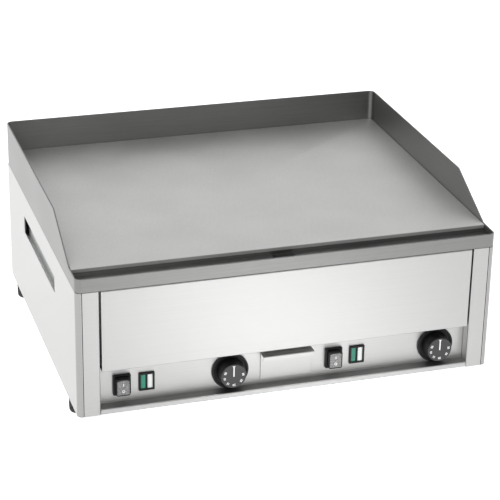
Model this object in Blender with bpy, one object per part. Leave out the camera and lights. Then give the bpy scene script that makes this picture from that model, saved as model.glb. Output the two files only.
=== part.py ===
"""Counter-top electric flat top griddle with two heating zones.

World frame: metres, +Z up, the operator stands at -Y and +X is to the operator's right.
The origin is the middle of the footprint, on the surface that the feet stand on.
Depths are measured back from the front face, heights up from the underside of the casing.
"""
import math

import bmesh
import bpy
from mathutils import Matrix, Vector

# Overall sizes
BODY_WIDTH = 0.660
BODY_DEPTH = 0.540
CASING_HEIGHT = 0.2042        # folded casing below the splash guard
LIP_HEIGHT = 0.022            # front lip of the guard, above the guard's lower edge
SPLASH_HEIGHT = 0.0515        # back and side walls, above the lip
FOOT_HEIGHT = 0.025

# Sheet metal and fits
CASING_SHEET = 0.0015
GUARD_SHEET = 0.002
SHADOW_GAP = 0.0003           # touching pieces keep this gap
SLIDE_GAP = 0.001             # drawer to its opening
HOLE_GAP = 0.0004             # pins, shanks and studs in their holes
FOLD_RADIUS = 0.002           # outside radius of a sharp sheet-metal fold

# Splash guard
REAR_CORNER_RADIUS = 0.010
FRONT_CORNER_RADIUS = 0.009
SLOPE_TOP_DEPTH = 0.151       # where the side walls start to fall
SLOPE_END_DEPTH = 0.046       # where they reach the lip
LEDGE_WIDTH = 0.016           # shelf that carries the plate

# Gutter and drain
GUTTER_DEPTH = 0.0133         # below the lip
PLATE_FRONT_DEPTH = 0.0385    # front edge of the plate
PLATE_OVERHANG = 0.003        # plate past the rear wall of the gutter
DRAIN_X = -0.002
DRAIN_WIDTH = 0.035
DRAIN_LENGTH = 0.0125
CHUTE_WALL = 0.0015
CHUTE_CLEARANCE = 0.004       # chute above the tray
DRAIN_CORNER = 0.002

# Griddle plate
PLATE_THICKNESS = 0.006
PLATE_DROP = 0.0005           # plate surface below the lip
PLATE_EDGE = 0.0006

# Front
PILLAR_WIDTH = 0.035
SIDE_BEND_RADIUS = 0.008
PANEL_GAP = 0.0027            # upright gap between front panel and pillar
PILLAR_RETURN = 0.030
RECESS_DEPTH = 0.018
RECESS_FLOOR = 0.0095
RECESS_CEILING = 0.0717
RAIL_BOTTOM = 0.0025
PANEL_FLANGE = 0.014
PANEL_LAP = 0.018             # control panel above the ceiling of the recess
PANEL_ROOT_RADIUS = 0.0005    # fold between recess floor and control panel

# Controls, placed on the recessed panel
ZONE_PITCH = 0.3365           # left set to right set
CONTROL_HEIGHT = 0.039
LEFT_SWITCH_X = -0.259
LEFT_LAMP_X = -0.2205
LEFT_KNOB_X = -0.0895

KNOB_FACE_RADIUS = 0.01975
KNOB_BASE_RADIUS = 0.02225
KNOB_PROUD = 0.004            # knob face in front of the casing
BEZEL_RADIUS = 0.029
BEZEL_RIM = 0.0035
BEZEL_THICKNESS = 0.004
BEZEL_DISH = 0.002
BEZEL_CHAMFER = 0.001
BEZEL_BORE_GAP = 0.003        # around the shaft
KNOB_FACE_CHAMFER = 0.0008
KNOB_BASE_CHAMFER = 0.001
SHAFT_RADIUS = 0.003
SHAFT_GRIP = 0.011
SHAFT_TAIL = 0.010            # shaft inside the thermostat
SHAFT_PANEL_GAP = 0.002       # around the shaft in the control panel
THERMOSTAT_SIZE = 0.036
THERMOSTAT_DEPTH = 0.034

SWITCH_WIDTH = 0.0274
SWITCH_HEIGHT = 0.0335
SWITCH_RIM = 0.0042           # thickness of the rim in front of the panel
SWITCH_BODY_WIDTH = 0.0216
SWITCH_BODY_HEIGHT = 0.0290
SWITCH_BODY_DEPTH = 0.030
SWITCH_CORNER = 0.0015
BODY_ROOT = 0.001             # body of a switch or lamp starts this far behind its rim's face
BOOT_PROUD = 0.0135           # front of the splash boot, ahead of the panel
BOOT_WALL = 0.001
BOOT_CORNER = 0.002
BOOT_SEAT = 0.002             # depth of the step that holds the boot's skirt
ROCKER_TILT = 10.0            # degrees either side of level
ROCKER_PIVOT = 0.0045         # pivot ahead of the control panel
ROCKER_FACE = 0.0042          # face ahead of the pivot
ROCKER_WIDTH = 0.0175
ROCKER_SIDE_GAP = 0.0008
ROCKER_END_GAP = 0.0006
ROCKER_FLOOR_GAP = 0.0005
ROCKER_HOUSING = 0.0016       # housing above and below the rocker
ROCKER_BACK_ANGLE = 40.0      # degrees above the axis where its round end stops

LAMP_WIDTH = 0.0246
LAMP_HEIGHT = 0.0300
LAMP_RIM = 0.0028
LAMP_CORNER = 0.001
LAMP_SHOULDER = 0.0015        # rim past the body on every side
LAMP_BODY_DEPTH = 0.024
LENS_WIDTH = 0.0080
LENS_HEIGHT = 0.0230
LENS_SPACING = 0.0104
LENS_THICKNESS = 0.0040
LENS_RECESS = 0.0008
LENS_EDGE = 0.0004

# Grease drawer
DRAWER_WIDTH = 0.082
DRAWER_BOTTOM = 0.0166
DRAWER_TOP = 0.062
HANDLE_REACH = 0.0138         # ledge in front of the drawer front
HANDLE_LIP = 0.008
LIP_CORNER = 0.003
TRAY_WALL = 0.0012
TRAY_LENGTH = 0.240
TRAY_MARGIN = 0.004           # tray inside the outline of the drawer front
TRAY_LIFT = 0.0014            # tray above the lower edge of the drawer front
RUNNER_SHEET = 0.0015
RUNNER_SHELF = 0.008
RUNNER_GUIDE = 0.016          # guide above the shelf
RUNNER_TAIL = 0.020           # runner past the closed tray

# Side slots and the shields behind them
SLOT_FRONT_DEPTH = 0.1545
SLOT_LENGTH = 0.244
SLOT_BOTTOM = 0.1355
SLOT_HEIGHT = 0.0285
SHIELD_STANDOFF = 0.010
SHIELD_MARGIN = 0.016
SHIELD_SHEET = 0.0012
SHIELD_BEND = 0.003
SLOT_CORNER = 0.0015

# Feet
FOOT_RADIUS = 0.017
FOOT_SIDE_INSET = 0.001
FOOT_FRONT_INSET = 0.055
FOOT_REAR_INSET = 0.029
FOOT_STUD_RADIUS = 0.004
FOOT_STUD_RISE = 0.010        # stud above the base pan
FOOT_TREAD_EDGE = 0.0015
FOOT_TOP_EDGE = 0.002

# Heating
ZONE_X = 0.163
ELEMENT_RADIUS = 0.0035
ELEMENT_RUNS = 6
ELEMENT_SPACING = 0.044
ELEMENT_BEND_SHARE = 0.45     # bend radius as a share of the spacing
TERMINAL_BEND = 0.008
ELEMENT_FRONT_DEPTH = 0.075
ELEMENT_REAR_INSET = 0.050    # rear loops ahead of the rear face
TERMINAL_INSET = 0.026        # terminals and capillary ahead of the rear face
TERMINAL_DROP = 0.044
CLAMP_FRONT_DEPTH = 0.150
CLAMP_REAR_INSET = 0.130      # rear clamp ahead of the rear face
CLAMP_WIDTH = 0.025
CLAMP_THICKNESS = 0.003
CLAMP_OVERHANG = 0.015        # bar past the outer runs
CLAMP_STUD_RADIUS = 0.003
INSULATION_THICKNESS = 0.026
INSULATION_REAR_INSET = 0.035 # mat ends ahead of the terminals
INSULATION_FIT = 0.001        # mat inside its tray
TRAY_LAP_SIDE = 0.0025        # insulation tray under the ledge, at each side
TRAY_LAP_FRONT = 0.008
TRAY_LAP_REAR = 0.0075
TERMINAL_HOLE_GAP = 0.002
BULB_RADIUS = 0.003
BULB_LENGTH = 0.120
BULB_FRONT_DEPTH = 0.200
CAPILLARY_RADIUS = 0.0012
LIMITER_RADIUS = 0.011
LIMITER_HEIGHT = 0.0095
LIMITER_CAP = 0.003
LIMITER_DEPTH = 0.280
CAPILLARY_CROSSING = 0.100    # height at which the capillary turns to the front
CAPILLARY_LEAD = 0.060        # straight length behind the thermostat
CAPILLARY_RISE = 0.008        # above the shaft

# Rear
BASE_SHEET = 0.002
BASE_UPSTAND = 0.012
REAR_FLANGE = 0.018
REAR_MARGIN = 0.005
LOUVRE_COUNT = 6
LOUVRE_LENGTH = 0.070
LOUVRE_HEIGHT = 0.005
LOUVRE_PITCH = 0.014
GLAND_RADIUS = 0.0125
GLAND_PROUD = 0.016
GLAND_X = 0.230
GLAND_HEIGHT = 0.055
SCREW_HEAD_RADIUS = 0.004
SCREW_HEAD_HEIGHT = 0.0022
SCREW_SHANK_RADIUS = 0.002
SCREW_LENGTH = 0.008
SCREW_END_MARGIN = 0.030      # from the top and the bottom of the casing
EARTH_STUD_RADIUS = 0.003
EARTH_STUD_X = 0.275
EARTH_STUD_HEIGHT = 0.035
EARTH_THREAD_END = 0.009
EARTH_NUT_THICKNESS = 0.005
TERMINAL_BLOCK = (0.060, 0.030, 0.022)
TERMINAL_SETBACK = 0.030      # block ahead of the rear panel
LOOM_RADIUS = 0.004
LOOM_REST = 0.002             # loom above the base pan
LOOM_DROP = 0.010             # where it meets the thermostat, below the shaft
LOOM_BEND = 0.020

# Planes that follow from the sizes above
HALF_WIDTH = BODY_WIDTH / 2
FRONT = -(BODY_DEPTH + GLAND_PROUD - KNOB_PROUD) / 2
REAR = FRONT + BODY_DEPTH
BOTTOM = FOOT_HEIGHT
GUARD_BOTTOM = BOTTOM + CASING_HEIGHT + SHADOW_GAP
LIP_TOP = GUARD_BOTTOM + LIP_HEIGHT
GUARD_TOP = LIP_TOP + SPLASH_HEIGHT
PLATE_TOP = LIP_TOP - PLATE_DROP
PLATE_UNDERSIDE = PLATE_TOP - PLATE_THICKNESS
LEDGE_TOP = PLATE_UNDERSIDE - SHADOW_GAP
GUTTER_FLOOR = LIP_TOP - GUTTER_DEPTH
GUTTER_REAR = FRONT + PLATE_FRONT_DEPTH + PLATE_OVERHANG
PILLAR_INNER = HALF_WIDTH - PILLAR_WIDTH
PANEL_FACE = FRONT + RECESS_DEPTH
CONTROL_Z = BOTTOM + CONTROL_HEIGHT
BASE_TOP = BOTTOM + BASE_SHEET
REAR_PANEL_INNER = REAR - CASING_SHEET
FLANGE_REAR = REAR_PANEL_INNER - SHADOW_GAP
TRAY_BOTTOM = BOTTOM + DRAWER_BOTTOM + TRAY_LIFT
TRAY_TOP = BOTTOM + DRAWER_TOP - TRAY_MARGIN
ELEMENT_Z = PLATE_UNDERSIDE - SHADOW_GAP - ELEMENT_RADIUS
CLAMP_TOP = ELEMENT_Z - ELEMENT_RADIUS - SHADOW_GAP
BLANKET_TOP = CLAMP_TOP - CLAMP_THICKNESS - SHADOW_GAP
BLANKET_BOTTOM = BLANKET_TOP - INSULATION_THICKNESS
LEDGE_INNER_X = HALF_WIDTH - GUARD_SHEET - LEDGE_WIDTH
LEDGE_FRONT_Y = GUTTER_REAR + CASING_SHEET + LEDGE_WIDTH
LEDGE_REAR_Y = REAR - GUARD_SHEET - LEDGE_WIDTH
SHIELD_X = HALF_WIDTH - CASING_SHEET - SHIELD_STANDOFF
REACH = 0.010                 # cutters run past the faces they cut by this much

SIDES = {"left": -1, "right": 1}
FINISHES = {
    "satin_stainless": ((0.62, 0.62, 0.61), 0.32, 1.0),
    "brushed_stainless": ((0.42, 0.42, 0.42), 0.38, 1.0),
    "ground_steel": ((0.52, 0.52, 0.51), 0.36, 1.0),
    "plated_steel": ((0.55, 0.55, 0.54), 0.45, 1.0),
    "black_plastic": ((0.015, 0.015, 0.016), 0.40, 0.0),
    "grey_knob_plastic": ((0.065, 0.065, 0.065), 0.48, 0.0),
    "clear_silicone": ((0.42, 0.42, 0.42), 0.25, 0.0),
    "green_lens": ((0.01, 0.36, 0.24), 0.18, 0.0),
    "clear_lens": ((0.75, 0.76, 0.75), 0.15, 0.0),
    "black_rubber": ((0.02, 0.02, 0.02), 0.75, 0.0),
    "element_sheath": ((0.16, 0.15, 0.14), 0.55, 1.0),
    "ceramic_fibre": ((0.80, 0.79, 0.74), 0.95, 0.0),
    "copper_tube": ((0.72, 0.43, 0.27), 0.35, 1.0),
    "white_ceramic": ((0.80, 0.79, 0.76), 0.40, 0.0),
    "brass": ((0.70, 0.52, 0.24), 0.35, 1.0),
    "loom_sleeve": ((0.05, 0.05, 0.05), 0.70, 0.0),
}


def finish(kind):
    """The Principled material of one finish, made when it is first asked for."""
    material = bpy.data.materials.get(kind)
    if material is None:
        colour, roughness, metallic = FINISHES[kind]
        material = bpy.data.materials.new(kind)
        material.use_nodes = True
        shader = material.node_tree.nodes["Principled BSDF"]
        shader.inputs["Base Color"].default_value = (*colour, 1.0)
        shader.inputs["Roughness"].default_value = roughness
        shader.inputs["Metallic"].default_value = metallic
        material.diffuse_color = (*colour, 1.0)
    return material


def add_object(name, data, kind):
    obj = bpy.data.objects.new(name, data)
    bpy.context.scene.collection.objects.link(obj)
    if kind:
        data.materials.append(finish(kind))
    return obj


def add_mesh(name, vertices, faces, kind, smooth_angle=None):
    """A closed mesh object whose faces all point outwards."""
    mesh = bpy.data.meshes.new(name)
    mesh.from_pydata([tuple(v) for v in vertices], [], faces)
    work = bmesh.new()
    work.from_mesh(mesh)
    bmesh.ops.recalc_face_normals(work, faces=work.faces)
    work.to_mesh(mesh)
    work.free()
    if smooth_angle is not None:
        mesh.shade_smooth()
        mesh.set_sharp_from_angle(angle=math.radians(smooth_angle))
    return add_object(name, mesh, kind)


def round_corner(before, corner, after, radius, steps):
    """Points of the arc that replaces one corner of a path, in the plane of its two legs."""
    enter = (before - corner).normalized()
    leave = (after - corner).normalized()
    axis = (-enter).cross(leave)
    if radius <= 0 or axis.length < 1e-6:
        return [corner]
    half = enter.angle(leave) / 2
    centre = corner + (enter + leave).normalized() * (radius / math.sin(half))
    start = corner + enter * (radius / math.tan(half))
    turn = math.pi - 2 * half
    return [centre + Matrix.Rotation(turn * k / steps, 3, axis) @ (start - centre)
            for k in range(steps + 1)]


def spread(radius, count):
    return list(radius) if isinstance(radius, (list, tuple)) else [radius] * count


def rounded_path(corners, radius, steps=4):
    """An open path with an arc at each inner corner."""
    points = [Vector(corner).to_3d() for corner in corners]
    radii = spread(radius, len(points) - 2)
    path = [points[0]]
    for before, corner, after, bend in zip(points, points[1:], points[2:], radii):
        path += round_corner(before, corner, after, bend, steps)
    return path + [points[-1]]


def rounded_outline(corners, radius, steps=4):
    """A closed outline with an arc at each corner."""
    points = [Vector(corner).to_3d() for corner in corners]
    radii = spread(radius, len(points))
    outline = []
    for index, corner in enumerate(points):
        after = points[(index + 1) % len(points)]
        outline += round_corner(points[index - 1], corner, after, radii[index], steps)
    return outline


def rectangle(low_u, low_v, high_u, high_v):
    return [(low_u, low_v), (high_u, low_v), (high_u, high_v), (low_u, high_v)]


def sheet_outline(path, thickness):
    """The closed section of a folded sheet: a path, and the same path offset to its left."""
    inner = []
    for index, point in enumerate(path):
        leg_in = (point - path[index - 1]) if index else None
        leg_out = (path[index + 1] - point) if index + 1 < len(path) else None
        normals = [Vector((-leg.y, leg.x, 0)).normalized() for leg in (leg_in, leg_out) if leg]
        mean = sum(normals, Vector()).normalized()
        inner.append(point + mean * (thickness / mean.dot(normals[0])))
    return list(path) + inner[::-1]


def lift(axis, u, v, along):
    """A section point (u, v) and a place along an axis, as a point in space."""
    return {"X": (along, u, v), "Y": (u, along, v), "Z": (u, v, along)}[axis]


def prism(name, outline, axis, low, high, kind):
    """An outline carried straight along an axis, with flat ends."""
    count = len(outline)
    vertices = [lift(axis, p[0], p[1], end) for end in (low, high) for p in outline]
    faces = [list(range(count))[::-1], list(range(count, 2 * count))]
    faces += [[i, (i + 1) % count, (i + 1) % count + count, i + count] for i in range(count)]
    return add_mesh(name, vertices, faces, kind)


def block(name, low, high, kind):
    return prism(name, rectangle(low[0], low[1], high[0], high[1]), "Z", low[2], high[2], kind)


def turned(name, profile, axis, centre, kind, segments=32):
    """A profile of (radius, height along the axis) turned once round, with its seam closed.

    A profile that starts and ends on the axis is a solid, and any other is a ring.
    """
    vertices, rings = [], []
    for radius, along in profile:
        if radius == 0:
            rings.append([len(vertices)])
            vertices.append(lift(axis, 0, 0, along))
            continue
        rings.append(list(range(len(vertices), len(vertices) + segments)))
        for step in range(segments):
            angle = 2 * math.pi * step / segments
            vertices.append(lift(axis, radius * math.cos(angle), radius * math.sin(angle), along))
    faces = []
    pairs = list(zip(rings, rings[1:]))
    if profile[0][0] or profile[-1][0]:
        pairs.append((rings[-1], rings[0]))
    for first, second in pairs:
        for step in range(segments):
            following = (step + 1) % segments
            face = {first[step % len(first)]: None, first[following % len(first)]: None,
                    second[following % len(second)]: None, second[step % len(second)]: None}
            faces.append(list(face))
    obj = add_mesh(name, vertices, faces, kind, smooth_angle=35)
    obj.location = centre
    return obj


def tube(name, path, radius, kind, thick_part=None):
    """A round tube along a path. thick_part is (first point, last point, larger radius)."""
    curve = bpy.data.curves.new(name, "CURVE")
    curve.dimensions = "3D"
    curve.bevel_depth = radius
    curve.bevel_resolution = 2
    curve.use_fill_caps = True
    spline = curve.splines.new("POLY")
    spline.points.add(len(path) - 1)
    for index, (point, place) in enumerate(zip(spline.points, path)):
        point.co = (*place, 1.0)
        if thick_part and thick_part[0] <= index <= thick_part[1]:
            point.radius = thick_part[2] / radius
    return add_object(name, curve, kind)


def combine(target, tool, operation):
    """Cut or join a helper shape, which stays in the file as a guide only."""
    tool.hide_render = True
    tool.display_type = "WIRE"
    modifier = target.modifiers.new(tool.name, "BOOLEAN")
    modifier.operation = operation
    modifier.solver = "EXACT"
    modifier.object = tool


def cut(target, tool):
    combine(target, tool, "DIFFERENCE")


def join(target, tool):
    combine(target, tool, "UNION")


def soften(target, width, segments=2):
    """Round the sharp edges of a finished shape."""
    modifier = target.modifiers.new("edge", "BEVEL")
    modifier.width = width
    modifier.segments = segments
    modifier.limit_method = "ANGLE"
    modifier.angle_limit = math.radians(40)


def bore(name, radius, axis, centre, segments=16, front=REACH, back=REACH):
    """A round cutter that runs a little to both sides of a face."""
    profile = [(0, -front), (radius, -front), (radius, back), (0, back)]
    return turned(name, profile, axis, centre, None, segments=segments)


def guard_outline(inset):
    """Plan of the casing's rounded rectangle, moved in by a distance."""
    front = max(FRONT_CORNER_RADIUS - inset, 0.001)
    rear = max(REAR_CORNER_RADIUS - inset, 0.001)
    corners = rectangle(-HALF_WIDTH + inset, FRONT + inset, HALF_WIDTH - inset, REAR - inset)
    return rounded_outline(corners, [front, front, rear, rear], steps=6)


def build_splash_guard():
    """Top frame: high back and sides, low front lip, gutter with a drain, ledge for the plate."""
    guard = prism("splash_guard", guard_outline(0), "Z", GUARD_BOTTOM, GUARD_TOP,
                  "brushed_stainless")
    inside = guard_outline(GUARD_SHEET)
    below, above = GUARD_BOTTOM - REACH, GUARD_TOP + REACH
    step_rear = GUTTER_REAR + CASING_SHEET

    # The well over the ledge and, in front of it, the deeper gutter.
    cut(guard, prism("cut_well", inside, "Z", LEDGE_TOP, above, None))
    front = FRONT + GUARD_SHEET
    side = HALF_WIDTH - GUARD_SHEET
    corner = FRONT_CORNER_RADIUS - GUARD_SHEET
    gutter = rounded_outline(rectangle(-side, front, side, GUTTER_REAR), [corner, corner, 0, 0], 6)
    cut(guard, prism("cut_gutter", gutter, "Z", GUTTER_FLOOR, above, None))

    # The hollow underneath: one under the gutter, and a higher one under the ledge.
    hollow = rounded_outline(rectangle(-side, front, side, step_rear), [corner, corner, 0, 0], 6)
    cut(guard, prism("cut_under_gutter", hollow, "Z", below, GUTTER_FLOOR - CASING_SHEET, None))
    rear_corner = REAR_CORNER_RADIUS - GUARD_SHEET
    hollow = rounded_outline(rectangle(-side, step_rear, side, REAR - GUARD_SHEET),
                             [0, 0, rear_corner, rear_corner], 6)
    cut(guard, prism("cut_under_ledge", hollow, "Z", below, LEDGE_TOP - CASING_SHEET, None))
    opening = rectangle(-LEDGE_INNER_X, LEDGE_FRONT_Y, LEDGE_INNER_X, LEDGE_REAR_Y)
    cut(guard, prism("cut_plate_opening", opening, "Z", below, above, None))

    half_drain = DRAIN_WIDTH / 2
    drain = rounded_outline(rectangle(DRAIN_X - half_drain, GUTTER_REAR - SLIDE_GAP - DRAIN_LENGTH,
                                      DRAIN_X + half_drain, GUTTER_REAR - SLIDE_GAP), DRAIN_CORNER)
    cut(guard, prism("cut_drain", drain, "Z", below, GUTTER_FLOOR + REACH, None))

    # Everything above the lip and in front of the sloping ends of the side walls.
    slope = Vector((SLOPE_TOP_DEPTH - SLOPE_END_DEPTH, GUARD_TOP - LIP_TOP))
    past = Vector((SLOPE_TOP_DEPTH, GUARD_TOP)) + slope * (REACH / slope.y)
    fall = [(FRONT - REACH, LIP_TOP), (FRONT + SLOPE_END_DEPTH, LIP_TOP),
            (FRONT + SLOPE_TOP_DEPTH, GUARD_TOP), (FRONT + past.x, past.y),
            (FRONT - REACH, past.y)]
    cut(guard, prism("cut_slope", fall, "X", -HALF_WIDTH - REACH, HALF_WIDTH + REACH, None))


def build_plate():
    """Ground steel cooking plate that lies on the ledge."""
    inset = GUARD_SHEET + SHADOW_GAP
    rear_corner = REAR_CORNER_RADIUS - GUARD_SHEET
    corners = rectangle(-HALF_WIDTH + inset, FRONT + PLATE_FRONT_DEPTH,
                        HALF_WIDTH - inset, REAR - inset)
    outline = rounded_outline(corners, [0.001, 0.001, rear_corner, rear_corner], steps=6)
    plate = prism("griddle_plate", outline, "Z", PLATE_UNDERSIDE, PLATE_TOP, "ground_steel")
    soften(plate, PLATE_EDGE)


def build_side_panel(side, sign):
    """Side, front pillar and rear flange folded from one sheet, with a long slot."""
    outer = HALF_WIDTH
    corners = [(PILLAR_INNER, FRONT + PILLAR_RETURN), (PILLAR_INNER, FRONT), (outer, FRONT),
               (outer, FLANGE_REAR), (outer - REAR_FLANGE, FLANGE_REAR)]
    path = rounded_path(corners, [FOLD_RADIUS, SIDE_BEND_RADIUS, FOLD_RADIUS])
    outline = [(point.x * sign, point.y) for point in sheet_outline(path, CASING_SHEET)]
    panel = prism(side + "_side_panel", outline, "Z", BOTTOM, BOTTOM + CASING_HEIGHT,
                  "satin_stainless")
    low = FRONT + SLOT_FRONT_DEPTH
    slot = rounded_outline(rectangle(low, BOTTOM + SLOT_BOTTOM, low + SLOT_LENGTH,
                                     BOTTOM + SLOT_BOTTOM + SLOT_HEIGHT), SLOT_CORNER, steps=3)
    ends = sorted((sign * (outer + REACH), sign * (outer - CASING_SHEET - REACH / 2)))
    cut(panel, prism("cut_slot_" + side, slot, "X", ends[0], ends[1], None))
    for level, height in rear_screw_places():
        hole = screw_hole("cut_flange_" + level + side, sign * rear_screw_x(), height)
        cut(panel, hole)

    # Shield: a shallow channel, open at both ends, that stands behind the slot.
    low_z = BOTTOM + SLOT_BOTTOM - SHIELD_MARGIN
    high_z = BOTTOM + SLOT_BOTTOM + SLOT_HEIGHT + SHIELD_MARGIN
    touch = outer - CASING_SHEET - SHADOW_GAP
    path = rounded_path([(touch, low_z), (SHIELD_X, low_z), (SHIELD_X, high_z), (touch, high_z)],
                        SHIELD_BEND, steps=3)
    section = [(point.x * sign, point.y) for point in sheet_outline(path, -SHIELD_SHEET)]
    prism(side + "_heat_shield", section, "Y", low - SHIELD_MARGIN,
          low + SLOT_LENGTH + SHIELD_MARGIN, "plated_steel")


def rear_screw_x():
    return HALF_WIDTH - REAR_FLANGE / 2 - REAR_MARGIN / 2


def rear_screw_places():
    """Names and heights of the two screws on each side of the rear panel."""
    return [("lower", BOTTOM + SCREW_END_MARGIN),
            ("upper", BOTTOM + CASING_HEIGHT - SCREW_END_MARGIN)]


def screw_hole(name, x, z):
    return bore(name, SCREW_SHANK_RADIUS + HOLE_GAP, "Y", (x, REAR_PANEL_INNER, z))


def build_rear_panel():
    """Screwed-on back with air slots, cable gland and earth stud."""
    half = HALF_WIDTH - REAR_MARGIN
    low, high = BOTTOM + RAIL_BOTTOM, BOTTOM + CASING_HEIGHT - RAIL_BOTTOM
    panel = block("rear_panel", (-half, REAR_PANEL_INNER, low), (half, REAR, high),
                  "satin_stainless")
    for side, sign in SIDES.items():
        x = sign * ZONE_X
        for index in range(LOUVRE_COUNT):
            z = BOTTOM + CASING_HEIGHT / 2 + (index - (LOUVRE_COUNT - 1) / 2) * LOUVRE_PITCH
            slot = rounded_outline(rectangle(x - LOUVRE_LENGTH / 2, z - LOUVRE_HEIGHT / 2,
                                             x + LOUVRE_LENGTH / 2, z + LOUVRE_HEIGHT / 2),
                                   LOUVRE_HEIGHT / 2.1, steps=3)
            cut(panel, prism("cut_louvre_%s_%d" % (side, index + 1), slot, "Y",
                             REAR_PANEL_INNER - REACH, REAR + REACH, None))
        for level, height in rear_screw_places():
            x = sign * rear_screw_x()
            cut(panel, screw_hole("cut_rear_" + level + side, x, height))
            head, shank = SCREW_HEAD_RADIUS, SCREW_SHANK_RADIUS
            profile = [(0, -SCREW_LENGTH), (shank, -SCREW_LENGTH), (shank, SHADOW_GAP),
                       (head, SHADOW_GAP), (head, SCREW_HEAD_HEIGHT * 0.6),
                       (head * 0.7, SCREW_HEAD_HEIGHT), (0, SCREW_HEAD_HEIGHT)]
            turned("rear_screw_%s_%s" % (level, side), profile, "Y", (x, REAR, height),
                   "plated_steel", segments=16)

    # Cable gland: flange and dome outside, thread and nut inside, bored for the lead.
    lead_hole, thread = GLAND_RADIUS * 0.40, GLAND_RADIUS * 0.64
    nut_radius, flange = GLAND_RADIUS * 0.95, GLAND_RADIUS * 0.40
    nut_face = -CASING_SHEET - SHADOW_GAP
    nut_end = nut_face - flange
    thread_end = nut_end - GLAND_RADIUS * 0.32
    profile = [(lead_hole, GLAND_PROUD), (GLAND_RADIUS * 0.62, GLAND_PROUD),
               (GLAND_RADIUS * 0.82, GLAND_PROUD * 0.85), (GLAND_RADIUS * 0.86, flange),
               (GLAND_RADIUS, flange), (GLAND_RADIUS, SHADOW_GAP), (thread, SHADOW_GAP),
               (thread, nut_face), (nut_radius, nut_face), (nut_radius, nut_end),
               (thread, nut_end), (thread, thread_end), (lead_hole, thread_end)]
    place = (GLAND_X, REAR, BOTTOM + GLAND_HEIGHT)
    turned("cable_gland", profile, "Y", place, "black_plastic", segments=24)
    cut(panel, bore("cut_gland", thread + HOLE_GAP, "Y", place, segments=24))

    # Earth stud: washer-faced hexagon outside, thread inside.
    radius = EARTH_STUD_RADIUS
    place = (EARTH_STUD_X, REAR, BOTTOM + EARTH_STUD_HEIGHT)
    nut = radius * 1.9
    hexagon = turned("earth_stud", [(0, SHADOW_GAP), (nut, SHADOW_GAP), (nut, EARTH_NUT_THICKNESS),
                                    (0, EARTH_NUT_THICKNESS)], "Y", place, "brass", segments=6)
    join(hexagon, bore("join_earth_thread", radius, "Y", place, back=EARTH_THREAD_END))
    cut(panel, bore("cut_earth", radius + HOLE_GAP, "Y", place))


def build_base():
    """Base pan with upstands, and four rubber feet whose studs pass through it."""
    side = HALF_WIDTH - CASING_SHEET - SHADOW_GAP
    front = FRONT + CASING_SHEET + SHADOW_GAP
    rear = FLANGE_REAR - CASING_SHEET - SHADOW_GAP
    # The front runs between the pillars' return flanges, and the pan widens behind them.
    clear_front = FRONT + PILLAR_RETURN + SHADOW_GAP
    between = PILLAR_INNER - SHADOW_GAP
    pan_corner = FOLD_RADIUS * 1.5
    plan = [(-between, front), (between, front), (between, clear_front), (side, clear_front),
            (side, rear), (-side, rear), (-side, clear_front), (-between, clear_front)]
    plan = rounded_outline(plan, [0, 0, 0, 0, pan_corner, pan_corner, 0, 0], steps=3)
    pan = prism("base_pan", plan, "Z", BOTTOM, BASE_TOP + BASE_UPSTAND, "plated_steel")
    # Upstands at the sides and the rear only.
    upstand_front = clear_front + SHADOW_GAP
    cut(pan, block("cut_pan_front", (-side - REACH, front - REACH, BASE_TOP),
                   (side + REACH, upstand_front, BASE_TOP + BASE_UPSTAND + REACH), None))
    wall = CASING_SHEET
    cut(pan, block("cut_pan_inside", (-side + wall, upstand_front - REACH, BASE_TOP),
                   (side - wall, rear - wall, BASE_TOP + BASE_UPSTAND + REACH), None))
    depths = {"front": (FRONT + FOOT_FRONT_INSET + FOOT_RADIUS),
              "rear": (REAR - FOOT_REAR_INSET - FOOT_RADIUS)}
    for side_name, sign in SIDES.items():
        for end, y in depths.items():
            x = sign * (HALF_WIDTH - FOOT_SIDE_INSET - FOOT_RADIUS)
            top = BOTTOM - SHADOW_GAP
            stud_top = BASE_TOP + FOOT_STUD_RISE
            edge = FOOT_TREAD_EDGE
            profile = [(0, 0), (FOOT_RADIUS - edge * 2, 0), (FOOT_RADIUS - edge, edge),
                       (FOOT_RADIUS, top - FOOT_TOP_EDGE), (FOOT_RADIUS - FOOT_TOP_EDGE, top),
                       (FOOT_STUD_RADIUS, top), (FOOT_STUD_RADIUS, stud_top), (0, stud_top)]
            turned("foot_%s_%s" % (end, side_name), profile, "Z", (x, y, 0), "black_rubber",
                   segments=24)
            cut(pan, bore("cut_foot_%s_%s" % (end, side_name), FOOT_STUD_RADIUS + HOLE_GAP, "Z",
                          (x, y, BOTTOM)))


def build_front_panel():
    """Upper front, folded back along its top and along the ceiling of the control recess."""
    top = BOTTOM + CASING_HEIGHT
    ceiling = BOTTOM + RECESS_CEILING
    corners = [(FRONT + PANEL_FLANGE, top), (FRONT, top), (FRONT, ceiling),
               (PANEL_FACE - SHADOW_GAP, ceiling)]
    outline = sheet_outline(rounded_path(corners, FOLD_RADIUS, steps=3), CASING_SHEET)
    half = PILLAR_INNER - PANEL_GAP
    prism("front_panel", outline, "X", -half, half, "satin_stainless")


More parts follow.
